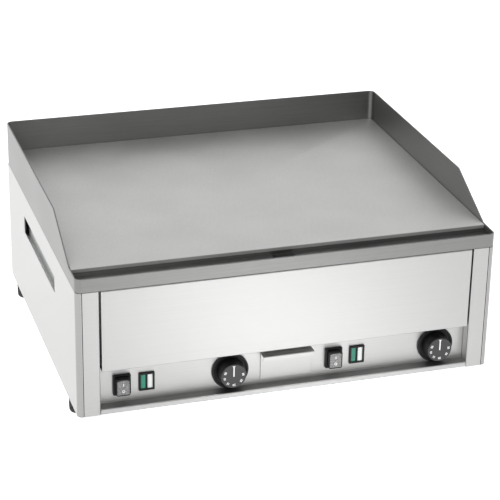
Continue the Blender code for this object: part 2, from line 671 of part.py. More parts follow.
def build_control_panel():
    """Recessed panel, recess floor and lower rail folded from one sheet, with its cut-outs."""
    floor = BOTTOM + RECESS_FLOOR
    top = BOTTOM + RECESS_CEILING + PANEL_LAP
    corners = [(FRONT, BOTTOM + RAIL_BOTTOM), (FRONT, floor), (PANEL_FACE, floor),
               (PANEL_FACE, top)]
    path = rounded_path(corners, [FOLD_RADIUS, PANEL_ROOT_RADIUS], steps=3)
    outline = sheet_outline(path, -CASING_SHEET)
    half = PILLAR_INNER - SHADOW_GAP
    panel = prism("control_panel", outline, "X", -half, half, "satin_stainless")
    low, high = PANEL_FACE - REACH / 2, PANEL_FACE + REACH
    for side, sign in SIDES.items():
        shift = 0 if sign < 0 else ZONE_PITCH
        openings = {
            "switch": (LEFT_SWITCH_X + shift, SWITCH_BODY_WIDTH, SWITCH_BODY_HEIGHT),
            "lamp": (LEFT_LAMP_X + shift, LAMP_WIDTH - 2 * LAMP_SHOULDER,
                     LAMP_HEIGHT - 2 * LAMP_SHOULDER),
        }
        for item, (x, width, height) in openings.items():
            half_w, half_h = width / 2 + HOLE_GAP, height / 2 + HOLE_GAP
            cut(panel, block("cut_%s_%s" % (item, side), (x - half_w, low, CONTROL_Z - half_h),
                             (x + half_w, high, CONTROL_Z + half_h), None))
        cut(panel, bore("cut_shaft_" + side, SHAFT_RADIUS + SHAFT_PANEL_GAP, "Y",
                        (LEFT_KNOB_X + shift, PANEL_FACE, CONTROL_Z), front=REACH / 2))
    half = DRAWER_WIDTH / 2 - TRAY_MARGIN + SLIDE_GAP
    cut(panel, block("cut_drawer", (-half, low, TRAY_BOTTOM - SLIDE_GAP),
                     (half, high, TRAY_TOP + SLIDE_GAP), None))


def build_drawer():
    """Grease drawer: folded front with a finger ledge, tray behind it, and two runners."""
    back = PANEL_FACE - SHADOW_GAP
    ledge_front = back - CASING_SHEET - HANDLE_REACH
    low, top = BOTTOM + DRAWER_BOTTOM, BOTTOM + DRAWER_TOP
    # The path runs up the back of the front, then over the ledge and down its lip.
    corners = [(back, low), (back, top), (ledge_front, top), (ledge_front, top - HANDLE_LIP)]
    outline = sheet_outline(rounded_path(corners, FOLD_RADIUS, steps=3), CASING_SHEET)
    half = DRAWER_WIDTH / 2
    front = prism("drawer_front", outline, "X", -half, half, "satin_stainless")
    # Rounded lower corners of the lip.
    for side, sign in SIDES.items():
        radius = LIP_CORNER
        x_edge, z_edge = sign * half, top - HANDLE_LIP
        square = [(x_edge + sign * REACH, z_edge - REACH), (x_edge + sign * REACH, z_edge + radius),
                  (x_edge, z_edge + radius)]
        arc = [(x_edge - sign * radius * (1 - math.cos(a)), z_edge + radius * (1 - math.sin(a)))
               for a in (math.radians(15 * k) for k in range(1, 6))]
        tail = [(x_edge - sign * radius, z_edge), (x_edge - sign * radius, z_edge - REACH)]
        cut(front, prism("cut_lip_" + side, square + arc + tail, "Y", ledge_front - REACH,
                         ledge_front + CASING_SHEET * 2, None))

    # Tray, open above.
    tray_half = DRAWER_WIDTH / 2 - TRAY_MARGIN
    start = PANEL_FACE
    tray = block("grease_tray", (-tray_half, start, TRAY_BOTTOM),
                 (tray_half, start + TRAY_LENGTH, TRAY_TOP), "satin_stainless")
    cut(tray, block("cut_tray", (-tray_half + TRAY_WALL, start + TRAY_WALL,
                                 TRAY_BOTTOM + TRAY_WALL),
                    (tray_half - TRAY_WALL, start + TRAY_LENGTH - TRAY_WALL, TRAY_TOP + REACH),
                    None))

    # Runners: a foot on the base pan, an upright guide and a shelf under the tray.
    behind = PANEL_FACE + CASING_SHEET + SHADOW_GAP
    for side, sign in SIDES.items():
        guide = tray_half + SLIDE_GAP / 2
        sheet = RUNNER_SHEET
        shelf_top = TRAY_BOTTOM - SHADOW_GAP
        foot_low = BASE_TOP + SHADOW_GAP
        section = [(guide, foot_low), (guide + RUNNER_SHELF, foot_low),
                   (guide + RUNNER_SHELF, foot_low + sheet), (guide + sheet, foot_low + sheet),
                   (guide + sheet, shelf_top + RUNNER_GUIDE), (guide, shelf_top + RUNNER_GUIDE),
                   (guide, shelf_top), (guide - RUNNER_SHELF, shelf_top),
                   (guide - RUNNER_SHELF, shelf_top - sheet), (guide, shelf_top - sheet)]
        prism(side + "_drawer_runner", [(u * sign, v) for u, v in section], "Y", behind,
              behind + TRAY_LENGTH + RUNNER_TAIL, "plated_steel")


def build_drain_chute():
    """Square tube that leads grease from the gutter's drain down into the tray."""
    wall = CHUTE_WALL
    low = TRAY_TOP + CHUTE_CLEARANCE
    top = GUTTER_FLOOR - CASING_SHEET - SHADOW_GAP
    inner_front = GUTTER_REAR - SLIDE_GAP * 2 - DRAIN_LENGTH
    inner_rear = GUTTER_REAR
    half = DRAIN_WIDTH / 2 + SLIDE_GAP
    chute = block("drain_chute", (DRAIN_X - half - wall, inner_front - wall, low),
                  (DRAIN_X + half + wall, inner_rear + wall, top), "plated_steel")
    cut(chute, block("cut_chute", (DRAIN_X - half, inner_front, low - REACH),
                     (DRAIN_X + half, inner_rear, top + REACH), None))


def build_dial(side, x):
    """Knob, bezel, thermostat and the shaft that turns with the knob."""
    axis = (x, PANEL_FACE, CONTROL_Z)
    bezel_back = -SHADOW_GAP
    bezel_front = bezel_back - BEZEL_THICKNESS
    dish = bezel_front + BEZEL_DISH
    eye = SHAFT_RADIUS + BEZEL_BORE_GAP
    chamfer = BEZEL_CHAMFER
    profile = [(eye, bezel_back), (BEZEL_RADIUS, bezel_back),
               (BEZEL_RADIUS, bezel_front + chamfer), (BEZEL_RADIUS - chamfer, bezel_front),
               (BEZEL_RADIUS - BEZEL_RIM, bezel_front),
               (BEZEL_RADIUS - BEZEL_RIM - chamfer, dish), (eye, dish)]
    turned(side + "_knob_bezel", profile, "Y", axis, "black_plastic", segments=40)

    back = dish - SHADOW_GAP * 2
    face = -RECESS_DEPTH - KNOB_PROUD
    edge, base_edge = KNOB_FACE_CHAMFER, KNOB_BASE_CHAMFER
    socket = SHAFT_RADIUS + HOLE_GAP
    shaft_tip = back - SHAFT_GRIP
    socket_end = shaft_tip - SHADOW_GAP * 2
    profile = [(0, face), (KNOB_FACE_RADIUS - edge, face), (KNOB_FACE_RADIUS, face + edge),
               (KNOB_BASE_RADIUS, back - base_edge), (KNOB_BASE_RADIUS - base_edge, back),
               (socket, back), (socket, socket_end), (0, socket_end)]
    turned(side + "_knob", profile, "Y", axis, "grey_knob_plastic", segments=40)

    body_front = CASING_SHEET + SHADOW_GAP
    shaft_end = body_front + SHAFT_TAIL
    turned(side + "_thermostat_shaft", [(0, shaft_tip), (SHAFT_RADIUS, shaft_tip),
                                        (SHAFT_RADIUS, shaft_end), (0, shaft_end)], "Y", axis,
           "plated_steel", segments=16)
    half = THERMOSTAT_SIZE / 2
    body = block(side + "_thermostat", (x - half, PANEL_FACE + body_front, CONTROL_Z - half),
                 (x + half, PANEL_FACE + body_front + THERMOSTAT_DEPTH, CONTROL_Z + half),
                 "white_ceramic")
    soften(body, 0.001, segments=1)
    cut(body, bore("cut_socket_" + side, socket, "Y", axis, back=shaft_end + SHADOW_GAP))


def build_switch(side, x):
    """Mains switch: body with a rim, a rocker that tips in it, and a clear splash boot."""
    rim_back = PANEL_FACE - SHADOW_GAP
    rim_front = rim_back - SWITCH_RIM
    body_half_w, body_half_h = SWITCH_BODY_WIDTH / 2, SWITCH_BODY_HEIGHT / 2
    outline = rounded_outline(rectangle(x - SWITCH_WIDTH / 2, CONTROL_Z - SWITCH_HEIGHT / 2,
                                        x + SWITCH_WIDTH / 2, CONTROL_Z + SWITCH_HEIGHT / 2),
                              SWITCH_CORNER, steps=3)
    body = prism(side + "_switch_body", outline, "Y", rim_front, rim_back, "black_plastic")
    join(body, block("join_switch_" + side, (x - body_half_w, rim_front + BODY_ROOT,
                                             CONTROL_Z - body_half_h),
                     (x + body_half_w, PANEL_FACE + SWITCH_BODY_DEPTH, CONTROL_Z + body_half_h),
                     None))
    # Pocket of the rocker, and the wider step that the boot's skirt stands on.
    pocket_w, pocket_h = ROCKER_WIDTH / 2 + ROCKER_SIDE_GAP, body_half_h - ROCKER_HOUSING
    pivot_y = PANEL_FACE - ROCKER_PIVOT
    pocket_floor = pivot_y + pocket_h + ROCKER_FLOOR_GAP
    cut(body, block("cut_rocker_" + side, (x - pocket_w, rim_front - REACH, CONTROL_Z - pocket_h),
                    (x + pocket_w, pocket_floor, CONTROL_Z + pocket_h), None))
    seat = rim_front + BOOT_SEAT
    boot_w, boot_h = pocket_w + BOOT_WALL + SHADOW_GAP, pocket_h + BOOT_WALL + SHADOW_GAP
    step = SHADOW_GAP
    cut(body, block("cut_boot_" + side, (x - boot_w - step, rim_front - REACH,
                                         CONTROL_Z - boot_h - step),
                    (x + boot_w + step, seat, CONTROL_Z + boot_h + step), None))

    # Boot: a rounded cup, open at the back.
    boot_front = PANEL_FACE - BOOT_PROUD
    boot_back = seat - SHADOW_GAP
    outline = rounded_outline(rectangle(x - boot_w, CONTROL_Z - boot_h, x + boot_w,
                                        CONTROL_Z + boot_h), BOOT_CORNER, steps=3)
    boot = prism(side + "_switch_boot", outline, "Y", boot_front, boot_back, "clear_silicone")
    hollow = rounded_outline(rectangle(x - boot_w + BOOT_WALL, CONTROL_Z - boot_h + BOOT_WALL,
                                       x + boot_w - BOOT_WALL, CONTROL_Z + boot_h - BOOT_WALL),
                             BOOT_CORNER - BOOT_WALL, steps=2)
    cut(boot, prism("cut_boot_hollow_" + side, hollow, "Y", boot_front + BOOT_WALL,
                    boot_back + REACH, None))

    # Rocker: its ends are arcs about the pivot, and its face is flat, tipped to the on side.
    reach = pocket_h - ROCKER_END_GAP
    half_face = math.sqrt(reach ** 2 - ROCKER_FACE ** 2)
    start = math.atan2(half_face, -ROCKER_FACE)
    stop = math.radians(ROCKER_BACK_ANGLE)
    upper = [start + (stop - start) * k / 5 for k in range(6)]
    arc = [(reach * math.cos(a), reach * math.sin(a)) for a in upper]
    section = arc + [(u, -v) for u, v in arc[::-1]]
    half = ROCKER_WIDTH / 2
    rocker = prism(side + "_switch_rocker", section, "X", -half, half, "black_plastic")
    rocker.location = (x, pivot_y, CONTROL_Z)
    rocker.rotation_euler = (math.radians(-ROCKER_TILT), 0, 0)


def build_lamp(side, x):
    """Double pilot lamp: one housing with a green and a clear lens."""
    rim_back = PANEL_FACE - SHADOW_GAP
    rim_front = rim_back - LAMP_RIM
    outline = rounded_outline(rectangle(x - LAMP_WIDTH / 2, CONTROL_Z - LAMP_HEIGHT / 2,
                                        x + LAMP_WIDTH / 2, CONTROL_Z + LAMP_HEIGHT / 2),
                              LAMP_CORNER, steps=2)
    body = prism(side + "_lamp_body", outline, "Y", rim_front, rim_back, "black_plastic")
    half_w, half_h = LAMP_WIDTH / 2 - LAMP_SHOULDER, LAMP_HEIGHT / 2 - LAMP_SHOULDER
    join(body, block("join_lamp_" + side, (x - half_w, rim_front + BODY_ROOT, CONTROL_Z - half_h),
                     (x + half_w, PANEL_FACE + LAMP_BODY_DEPTH, CONTROL_Z + half_h), None))
    for colour, sign in (("green", -1), ("clear", 1)):
        centre = x + sign * LENS_SPACING / 2
        half_w, half_h = LENS_WIDTH / 2, LENS_HEIGHT / 2
        front = rim_front + LENS_RECESS
        back = front + LENS_THICKNESS
        lens = block("%s_lamp_%s_lens" % (side, colour), (centre - half_w, front,
                                                          CONTROL_Z - half_h),
                     (centre + half_w, back, CONTROL_Z + half_h), colour + "_lens")
        soften(lens, LENS_EDGE, segments=1)
        gap = SHADOW_GAP
        cut(body, block("cut_%s_lens_%s" % (colour, side), (centre - half_w - gap,
                                                            rim_front - REACH,
                                                            CONTROL_Z - half_h - gap),
                        (centre + half_w + gap, back + gap, CONTROL_Z + half_h + gap), None))


def build_zone(side, sign, knob_x):
    """One heating zone under the plate: element, clamps, limiter and thermostat sensor."""
    x = sign * ZONE_X
    front, rear = FRONT + ELEMENT_FRONT_DEPTH, REAR - ELEMENT_REAR_INSET
    terminal_y = REAR - TERMINAL_INSET
    runs = [x + (index - (ELEMENT_RUNS - 1) / 2) * ELEMENT_SPACING
            for index in range(ELEMENT_RUNS)]
    corners = [(runs[0], terminal_y, ELEMENT_Z - TERMINAL_DROP), (runs[0], terminal_y, ELEMENT_Z)]
    for index, (run, following) in enumerate(zip(runs, runs[1:])):
        turn = front if index % 2 == 0 else rear
        corners += [(run, turn, ELEMENT_Z), (following, turn, ELEMENT_Z)]
    corners += [(runs[-1], terminal_y, ELEMENT_Z),
                (runs[-1], terminal_y, ELEMENT_Z - TERMINAL_DROP)]
    loop = ELEMENT_SPACING * ELEMENT_BEND_SHARE
    bends = [TERMINAL_BEND] + [loop] * (2 * ELEMENT_RUNS - 2) + [TERMINAL_BEND]
    tube(side + "_heating_element", rounded_path(corners, bends, steps=4), ELEMENT_RADIUS,
         "element_sheath")

    half_bar = (ELEMENT_RUNS - 1) / 2 * ELEMENT_SPACING + CLAMP_OVERHANG
    for order, y in (("front", FRONT + CLAMP_FRONT_DEPTH), ("rear", REAR - CLAMP_REAR_INSET)):
        bar = block("%s_element_clamp_%s" % (side, order),
                    (x - half_bar, y - CLAMP_WIDTH / 2, CLAMP_TOP - CLAMP_THICKNESS),
                    (x + half_bar, y + CLAMP_WIDTH / 2, CLAMP_TOP), "plated_steel")
        for index, offset in enumerate((-2, 2)):
            stud_x = x + offset * ELEMENT_SPACING
            join(bar, bore("join_stud_%s_%s_%d" % (side, order, index + 1), CLAMP_STUD_RADIUS,
                           "Z", (stud_x, y, CLAMP_TOP), segments=12, front=CLAMP_THICKNESS / 2,
                           back=PLATE_UNDERSIDE - SHADOW_GAP - CLAMP_TOP))

    top = PLATE_UNDERSIDE - SHADOW_GAP
    turned(side + "_limit_thermostat",
           [(0, -LIMITER_HEIGHT), (LIMITER_RADIUS * 0.72, -LIMITER_HEIGHT),
            (LIMITER_RADIUS * 0.72, -LIMITER_CAP), (LIMITER_RADIUS, -LIMITER_CAP),
            (LIMITER_RADIUS, 0), (0, 0)], "Z", (x + ELEMENT_SPACING, FRONT + LIMITER_DEPTH, top),
           "plated_steel", segments=20)

    # Sensor: the bulb lies against the plate between two runs, its capillary drops at the rear.
    bulb_front = FRONT + BULB_FRONT_DEPTH
    bulb_rear = bulb_front + BULB_LENGTH
    bulb_z = PLATE_UNDERSIDE - SHADOW_GAP - BULB_RADIUS
    back_of_body = PANEL_FACE + CASING_SHEET + SHADOW_GAP * 2 + THERMOSTAT_DEPTH
    bulb = [(x, bulb_front, bulb_z), (x, bulb_front + 0.001, bulb_z), (x, bulb_rear, bulb_z)]
    end_z = CONTROL_Z + CAPILLARY_RISE
    lead = rounded_path([(x, bulb_rear + 0.002, bulb_z), (x, terminal_y, bulb_z),
                         (x, terminal_y, BOTTOM + CAPILLARY_CROSSING),
                         (knob_x, back_of_body + CAPILLARY_LEAD, end_z),
                         (knob_x, back_of_body, end_z)], [0.012, 0.020, 0.020], steps=5)
    tube(side + "_capillary", bulb + lead, CAPILLARY_RADIUS, "copper_tube",
         thick_part=(0, 2, BULB_RADIUS))


def build_insulation():
    """Ceramic fibre mat in a tray that hangs under the ledge of the guard."""
    sheet = CASING_SHEET
    tray_half = LEDGE_INNER_X + TRAY_LAP_SIDE
    tray_front = LEDGE_FRONT_Y - TRAY_LAP_FRONT
    tray_rear = LEDGE_REAR_Y + TRAY_LAP_REAR
    low = BLANKET_BOTTOM - SHADOW_GAP - sheet
    high = LEDGE_TOP - CASING_SHEET - SHADOW_GAP
    tray = block("insulation_tray", (-tray_half, tray_front, low), (tray_half, tray_rear, high),
                 "plated_steel")
    cut(tray, block("cut_insulation_tray", (-tray_half + sheet, tray_front + sheet, low + sheet),
                    (tray_half - sheet, tray_rear - sheet, high + REACH), None))
    terminal_y = REAR - TERMINAL_INSET
    for side, sign in SIDES.items():
        outer_run = (ELEMENT_RUNS - 1) / 2 * ELEMENT_SPACING
        for index, offset in enumerate((-outer_run, 0, outer_run)):
            cut(tray, bore("cut_terminal_%s_%d" % (side, index + 1),
                           ELEMENT_RADIUS + TERMINAL_HOLE_GAP, "Z",
                           (sign * ZONE_X + offset, terminal_y, low), segments=12))
    margin = sheet + INSULATION_FIT
    block("insulation_blanket", (-tray_half + margin, tray_front + margin, BLANKET_BOTTOM),
          (tray_half - margin, REAR - INSULATION_REAR_INSET, BLANKET_TOP), "ceramic_fibre")


def build_wiring():
    """Terminal block beside the gland, and a loom from it to each thermostat."""
    length, depth, height = TERMINAL_BLOCK
    rear = REAR_PANEL_INNER - TERMINAL_SETBACK
    low = BASE_TOP + SHADOW_GAP
    x = GLAND_X
    body = block("terminal_block", (x - length / 2, rear - depth, low),
                 (x + length / 2, rear, low + height), "white_ceramic")
    soften(body, 0.001, segments=1)
    start_y = rear - depth - SHADOW_GAP
    end_y = PANEL_FACE + CASING_SHEET + SHADOW_GAP * 2 + THERMOSTAT_DEPTH
    low_z = low + LOOM_RADIUS + LOOM_REST
    end_z = CONTROL_Z - LOOM_DROP
    behind_tray = PANEL_FACE + TRAY_LENGTH + 3 * LOOM_BEND
    left_x, right_x = LEFT_KNOB_X, LEFT_KNOB_X + ZONE_PITCH
    left_start, right_start = x - length / 4, x + length / 4
    routes = {
        "left": [(left_start, start_y, low_z), (left_start, behind_tray, low_z),
                 (left_x, behind_tray, low_z), (left_x, end_y + 1.5 * LOOM_BEND, low_z),
                 (left_x, end_y + 1.5 * LOOM_BEND, end_z), (left_x, end_y, end_z)],
        "right": [(right_start, start_y, low_z), (right_start, end_y + 4 * LOOM_BEND, low_z),
                  (right_x, end_y + 2 * LOOM_BEND, end_z), (right_x, end_y, end_z)],
    }
    tight = LOOM_BEND * 0.45
    bends = {"left": [LOOM_BEND, LOOM_BEND, tight, tight], "right": [LOOM_BEND, LOOM_BEND * 0.75]}
    for side, corners in routes.items():
        tube(side + "_wiring_loom", rounded_path(corners, bends[side]), LOOM_RADIUS,
             "loom_sleeve")


def clear_scene():
    for obj in list(bpy.data.objects):
        bpy.data.objects.remove(obj, do_unlink=True)


def build_griddle():
    clear_scene()
    build_splash_guard()
    build_plate()
    build_base()
    build_rear_panel()
    build_front_panel()
    build_control_panel()
    build_drawer()
    build_drain_chute()
    build_insulation()
    build_wiring()
    for side, sign in SIDES.items():
        shift = 0 if sign < 0 else ZONE_PITCH
        build_side_panel(side, sign)
        build_dial(side, LEFT_KNOB_X + shift)
        build_switch(side, LEFT_SWITCH_X + shift)
        build_lamp(side, LEFT_LAMP_X + shift)
        build_zone(side, sign, LEFT_KNOB_X + shift)


build_griddle()
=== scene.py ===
# Looks of the flat top griddle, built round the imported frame.
# Metres, +Z up, the front faces -Y. Every material is procedural.
import math

import bmesh
import bpy
import numpy as np
from mathutils import Matrix, Vector


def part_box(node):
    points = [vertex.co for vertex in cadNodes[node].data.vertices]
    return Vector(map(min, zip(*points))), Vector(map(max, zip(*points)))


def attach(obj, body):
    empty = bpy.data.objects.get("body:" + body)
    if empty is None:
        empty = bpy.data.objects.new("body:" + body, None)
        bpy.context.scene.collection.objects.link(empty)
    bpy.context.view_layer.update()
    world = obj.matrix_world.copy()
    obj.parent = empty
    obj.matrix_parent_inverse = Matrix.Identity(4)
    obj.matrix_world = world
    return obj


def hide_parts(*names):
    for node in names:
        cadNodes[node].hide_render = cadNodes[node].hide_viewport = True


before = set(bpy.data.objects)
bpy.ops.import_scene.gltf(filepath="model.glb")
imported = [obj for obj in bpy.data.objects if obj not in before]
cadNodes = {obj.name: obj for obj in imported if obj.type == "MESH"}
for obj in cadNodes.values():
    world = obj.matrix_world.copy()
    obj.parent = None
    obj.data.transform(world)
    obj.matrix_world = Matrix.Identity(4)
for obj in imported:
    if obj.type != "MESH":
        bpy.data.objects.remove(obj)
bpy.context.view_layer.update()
sides = {"left": -1, "right": 1}
print("frame loaded:", len(cadNodes), "nodes")


def srgb(hexColour):
    # an sRGB hex value as the linear numbers the shaders work with
    parts = np.array([int(hexColour[i:i + 2], 16) / 255 for i in (1, 3, 5)])
    linear = np.where(parts <= 0.04045, parts / 12.92, ((parts + 0.055) / 1.055) ** 2.4)
    return (*[float(v) for v in linear], 1.0)


def addNode(tree, kind, settings=None, links=None):
    # settings holds socket values and node properties, links holds input socket -> output socket
    node = tree.nodes.new(kind)
    for key, value in (settings or {}).items():
        if isinstance(key, int) or key in node.inputs:
            node.inputs[key].default_value = value
        else:
            setattr(node, key, value)
    for key, source in (links or {}).items():
        tree.links.new(source, node.inputs[key])
    return node


def newMaterial(name, **sockets):
    # a Principled material with constants on its own sockets; returns it with its tree and shader
    material = bpy.data.materials.new(name)
    material.use_nodes = True
    tree = material.node_tree
    shader = tree.nodes["Principled BSDF"]
    for key, value in sockets.items():
        shader.inputs[key.replace("_", " ")].default_value = value
    return material, tree, shader


def grainMaterial(name, look, **sockets):
    # A fine noise carries the grain, a slow one the hand marks, and their mix moves colour and
    # roughness; the grain alone makes the bump. grain is the size of one mark in metres along
    # X, Y and Z, and cloud that of a hand mark. Noise stays near 0.5, so its middle is spread.
    material, tree, shader = newMaterial(name, **sockets)
    place = addNode(tree, "ShaderNodeTexCoord")
    scaled = addNode(tree, "ShaderNodeMapping", {"Scale": tuple(1 / g for g in look["grain"])},
                     {"Vector": place.outputs["Object"]})
    grain = addNode(tree, "ShaderNodeTexNoise",
                    {"Scale": 1.0, "Detail": 3.0, "Roughness": 0.6},
                    {"Vector": scaled.outputs["Vector"]})
    slow = addNode(tree, "ShaderNodeTexNoise",
                   {"Scale": 1 / look.get("cloud", 0.08), "Detail": 2.0},
                   {"Vector": place.outputs["Object"]})
    light, dark = srgb(look["light"]), srgb(look["dark"])
    both = addNode(tree, "ShaderNodeMix", {"data_type": "FLOAT", 0: look.get("cloudShare", 0.35)},
                   {2: grain.outputs["Fac"], 3: slow.outputs["Fac"]})
    spread = addNode(tree, "ShaderNodeMapRange",
                     {"From Min": 0.38, "From Max": 0.62, "To Min": 0.0, "To Max": 1.0},
                     {"Value": both.outputs[0]})
    colour = addNode(tree, "ShaderNodeMix", {"data_type": "RGBA", 6: dark, 7: light},
                     {0: spread.outputs["Result"]})
    low, high = look["roughness"]
    rough = addNode(tree, "ShaderNodeMapRange",
                    {"From Min": 0.35, "From Max": 0.65, "To Min": low, "To Max": high},
                    {"Value": both.outputs[0]})
    bump = addNode(tree, "ShaderNodeBump",
                   {"Strength": look.get("bump", 0.1), "Distance": look.get("depth", 0.00005)},
                   {"Height": grain.outputs["Fac"]})
    tree.links.new(colour.outputs[2], shader.inputs["Base Color"])
    tree.links.new(rough.outputs["Result"], shader.inputs["Roughness"])
    tree.links.new(bump.outputs["Normal"], shader.inputs["Normal"])
    if "brushed" in look:
        # brush lines lie level, so the highlight spreads upright: tangent = normal x (1, 1, 0)
        facing = addNode(tree, "ShaderNodeNewGeometry")
        across = addNode(tree, "ShaderNodeVectorMath", {"operation": "CROSS_PRODUCT"},
                         {0: facing.outputs["Normal"]})
        across.inputs[1].default_value = (1, 1, 0)
        tree.links.new(across.outputs["Vector"], shader.inputs["Tangent"])
        shader.inputs["Anisotropic"].default_value = look["brushed"]
    return material


materialLooks = {
    # cold rolled sheet, satin brushed along its length: long faint lines, soft reflections.
    # Real lines are about 0.1 mm apart; they are drawn 1.4 mm apart so that they show.
    "satinStainlessSheet": dict(light="#c1c1c0", dark="#bcbcbb", roughness=(0.36, 0.42),
                                grain=(0.30, 0.30, 0.0014), cloud=0.3, bump=0.02, brushed=0.75),
    # the same sheet over a press bend, where the tool has crossed and dulled the brushing; its
    # darker colour is painted shade for the darker reflection along the bend
    "satinStainlessBend": dict(light="#a8a8a7", dark="#a1a1a0", roughness=(0.36, 0.44),
                               grain=(0.30, 0.30, 0.0014), cloud=0.3, bump=0.02, brushed=0.5),
    # a darker, rougher copy of the sheet: painted shade on level faces under the controls, painted
    # light in the gutter
    "satinStainlessSoiled": dict(light="#a9a9a8", dark="#9b9b9a", roughness=(0.40, 0.50),
                                 grain=(0.05, 0.004, 0.004), cloud=0.12, bump=0.03),
    # welded guard, brushed coarser after welding: darker, with lines that read from afar
    "brushedStainlessGuard": dict(light="#8b8b8a", dark="#818180", roughness=(0.34, 0.44),
                                  grain=(0.12, 0.12, 0.0012), cloud=0.15, bump=0.06, brushed=0.5),
    # cooking plate, ground flat: dull even grey with fine mottling and broad faint smears
    "groundSteelPlate": dict(light="#d6d6d5", dark="#cdcdcc", roughness=(0.54, 0.60),
                             grain=(0.0016, 0.012, 0.0016), cloud=0.12, bump=0.05,
                             cloudShare=0.5),
    # zinc plated sheet for what sits inside: grey with soft spangle
    "platedSteelSheet": dict(light="#c4c6c7", dark="#a9abac", roughness=(0.38, 0.50),
                             grain=(0.006, 0.006, 0.006), bump=0.05),
}
satinSteel, shadedBendSteel, paintedShadeAndLightSteel, guardSteel, plateSteel, platedSteel = [
    grainMaterial(name, look, Metallic=1.0) for name, look in materialLooks.items()]

# baked enamel on the heat shields: near white, half matt, slight orange peel, so that what
# shows through the side slot is light
whiteEnamel = grainMaterial(
    "bakedWhiteEnamel", dict(light="#f0f1f0", dark="#e6e8e7", roughness=(0.40, 0.50),
                            grain=(0.002,) * 3, bump=0.15, depth=0.00005))
# glass filled nylon, moulded: near black, 0.4 mm spark texture from the mould, soft sheen
blackPlastic = grainMaterial(
    "mouldedBlackNylon", dict(light="#101011", dark="#09090a", roughness=(0.38, 0.50),
                              grain=(0.0004,) * 3, bump=0.15, depth=0.00004),
    Specular_IOR_Level=0.3)
# phenolic knob face, moulded: charcoal, finely matt, so the white print stands out
knobPlastic = grainMaterial(
    "mouldedPhenolicKnob", dict(light="#343434", dark="#2a2a2a", roughness=(0.38, 0.50),
                                grain=(0.0005,) * 3, bump=0.2, depth=0.00004))
# synthetic rubber, moulded: black, dull, slightly grainy; the feet, and the painted shadow in the
# pillars' seams
rubber = grainMaterial(
    "mouldedBlackRubber", dict(light="#1f1f1f", dark="#151515", roughness=(0.62, 0.75),
                            grain=(0.0008,) * 3, bump=0.25, depth=0.00008))
# nickel alloy sheath after firing: brown grey oxide that dulls the metal
elementSheath = grainMaterial(
    "oxidisedNickelAlloySheath", dict(light="#6b635c", dark="#3d3834", roughness=(0.45, 0.65),
                                  grain=(0.004,) * 3, bump=0.2), Metallic=0.8)
# needled alumino silicate mat: white, woolly, no shine
ceramicFibre = grainMaterial(
    "ceramicFibreMat", dict(light="#efece2", dark="#d8d3c6", roughness=(0.9, 1.0),
                            grain=(0.003, 0.0012, 0.003), bump=0.8, depth=0.0006))
# drawn tube of the capillaries: warm, half bright, slightly tarnished
copper = grainMaterial(
    "drawnCopperTube", dict(light="#c98257", dark="#a9633d", roughness=(0.28, 0.42),
                            grain=(0.004,) * 3, bump=0.05), Metallic=1.0)
# pressed and fired insulator: cream, half glossy
ceramic = grainMaterial(
    "steatiteCeramic", dict(light="#e9e6dd", dark="#dcd8cc", roughness=(0.30, 0.42),
                            grain=(0.0015,) * 3, bump=0.1))
# turned stud and nuts: yellow, with fine tool lines along it
brass = grainMaterial(
    "machinedBrass", dict(light="#cfa557", dark="#b48a3f", roughness=(0.25, 0.38),
                          grain=(0.002, 0.0004, 0.002), bump=0.08), Metallic=1.0)
# woven glass sleeve over the wires: dark grey, coarse, no shine
loomSleeve = grainMaterial(
    "wovenGlassSleeve", dict(light="#5a5750", dark="#2b2926", roughness=(0.6, 0.8),
                             grain=(0.0012,) * 3, bump=0.6, depth=0.0003))
# bright zinc on screw heads and spindles: pale, smooth, sharp highlights
zincSteel = grainMaterial(
    "zincPlatedSteel", dict(light="#cfd0cf", dark="#b5b6b6", roughness=(0.22, 0.32),
                            grain=(0.001,) * 3, bump=0.05), Metallic=1.0)
# polycarbonate lenses, moulded with a fine inner pattern: clear coat outside, and a faint glow
# for the light that real lenses pass
greenLens = grainMaterial(
    "tintedPolycarbonate", dict(light="#0c8069", dark="#06634e", roughness=(0.10, 0.18),
                                grain=(0.0015,) * 3, bump=0.2, depth=0.0001),
    Coat_Weight=0.2, Emission_Color=srgb("#0fa283"), Emission_Strength=0.12)
clearLens = grainMaterial(
    "frostedPolycarbonate", dict(light="#e6e9e7", dark="#cdd1cf", roughness=(0.10, 0.18),
                                 grain=(0.0015,) * 3, bump=0.2, depth=0.0001),
    Coat_Weight=0.2, Emission_Color=srgb("#ffffff"), Emission_Strength=0.08)
# clear silicone membrane, a little milky, so what is behind it shows faintly
membrane = grainMaterial(
    "castClearSilicone", dict(light="#a2a2a2", dark="#6f6f6f", roughness=(0.16, 0.26),
                              grain=(0.0022,) * 3, cloudShare=0.1, bump=0.4, depth=0.0003),
    Alpha=0.7)
# pad printed ink: opaque white, matt
ink = grainMaterial(
    "padPrintedInk", dict(light="#f4f4f2", dark="#e6e6e4", roughness=(0.45, 0.55),
                          grain=(0.0005,) * 3, bump=0.05))
print("materials made:", len(bpy.data.materials))


gap = 0.0003          # room left between two pieces that meet
sheetEdge = 0.0003    # rounding of a cut sheet edge
supportRow = 0.0006   # from a rounded end to the next row of points, which keeps the side flat
through = 0.01        # how far a cutter starts and ends outside its piece
crease = math.radians(38)


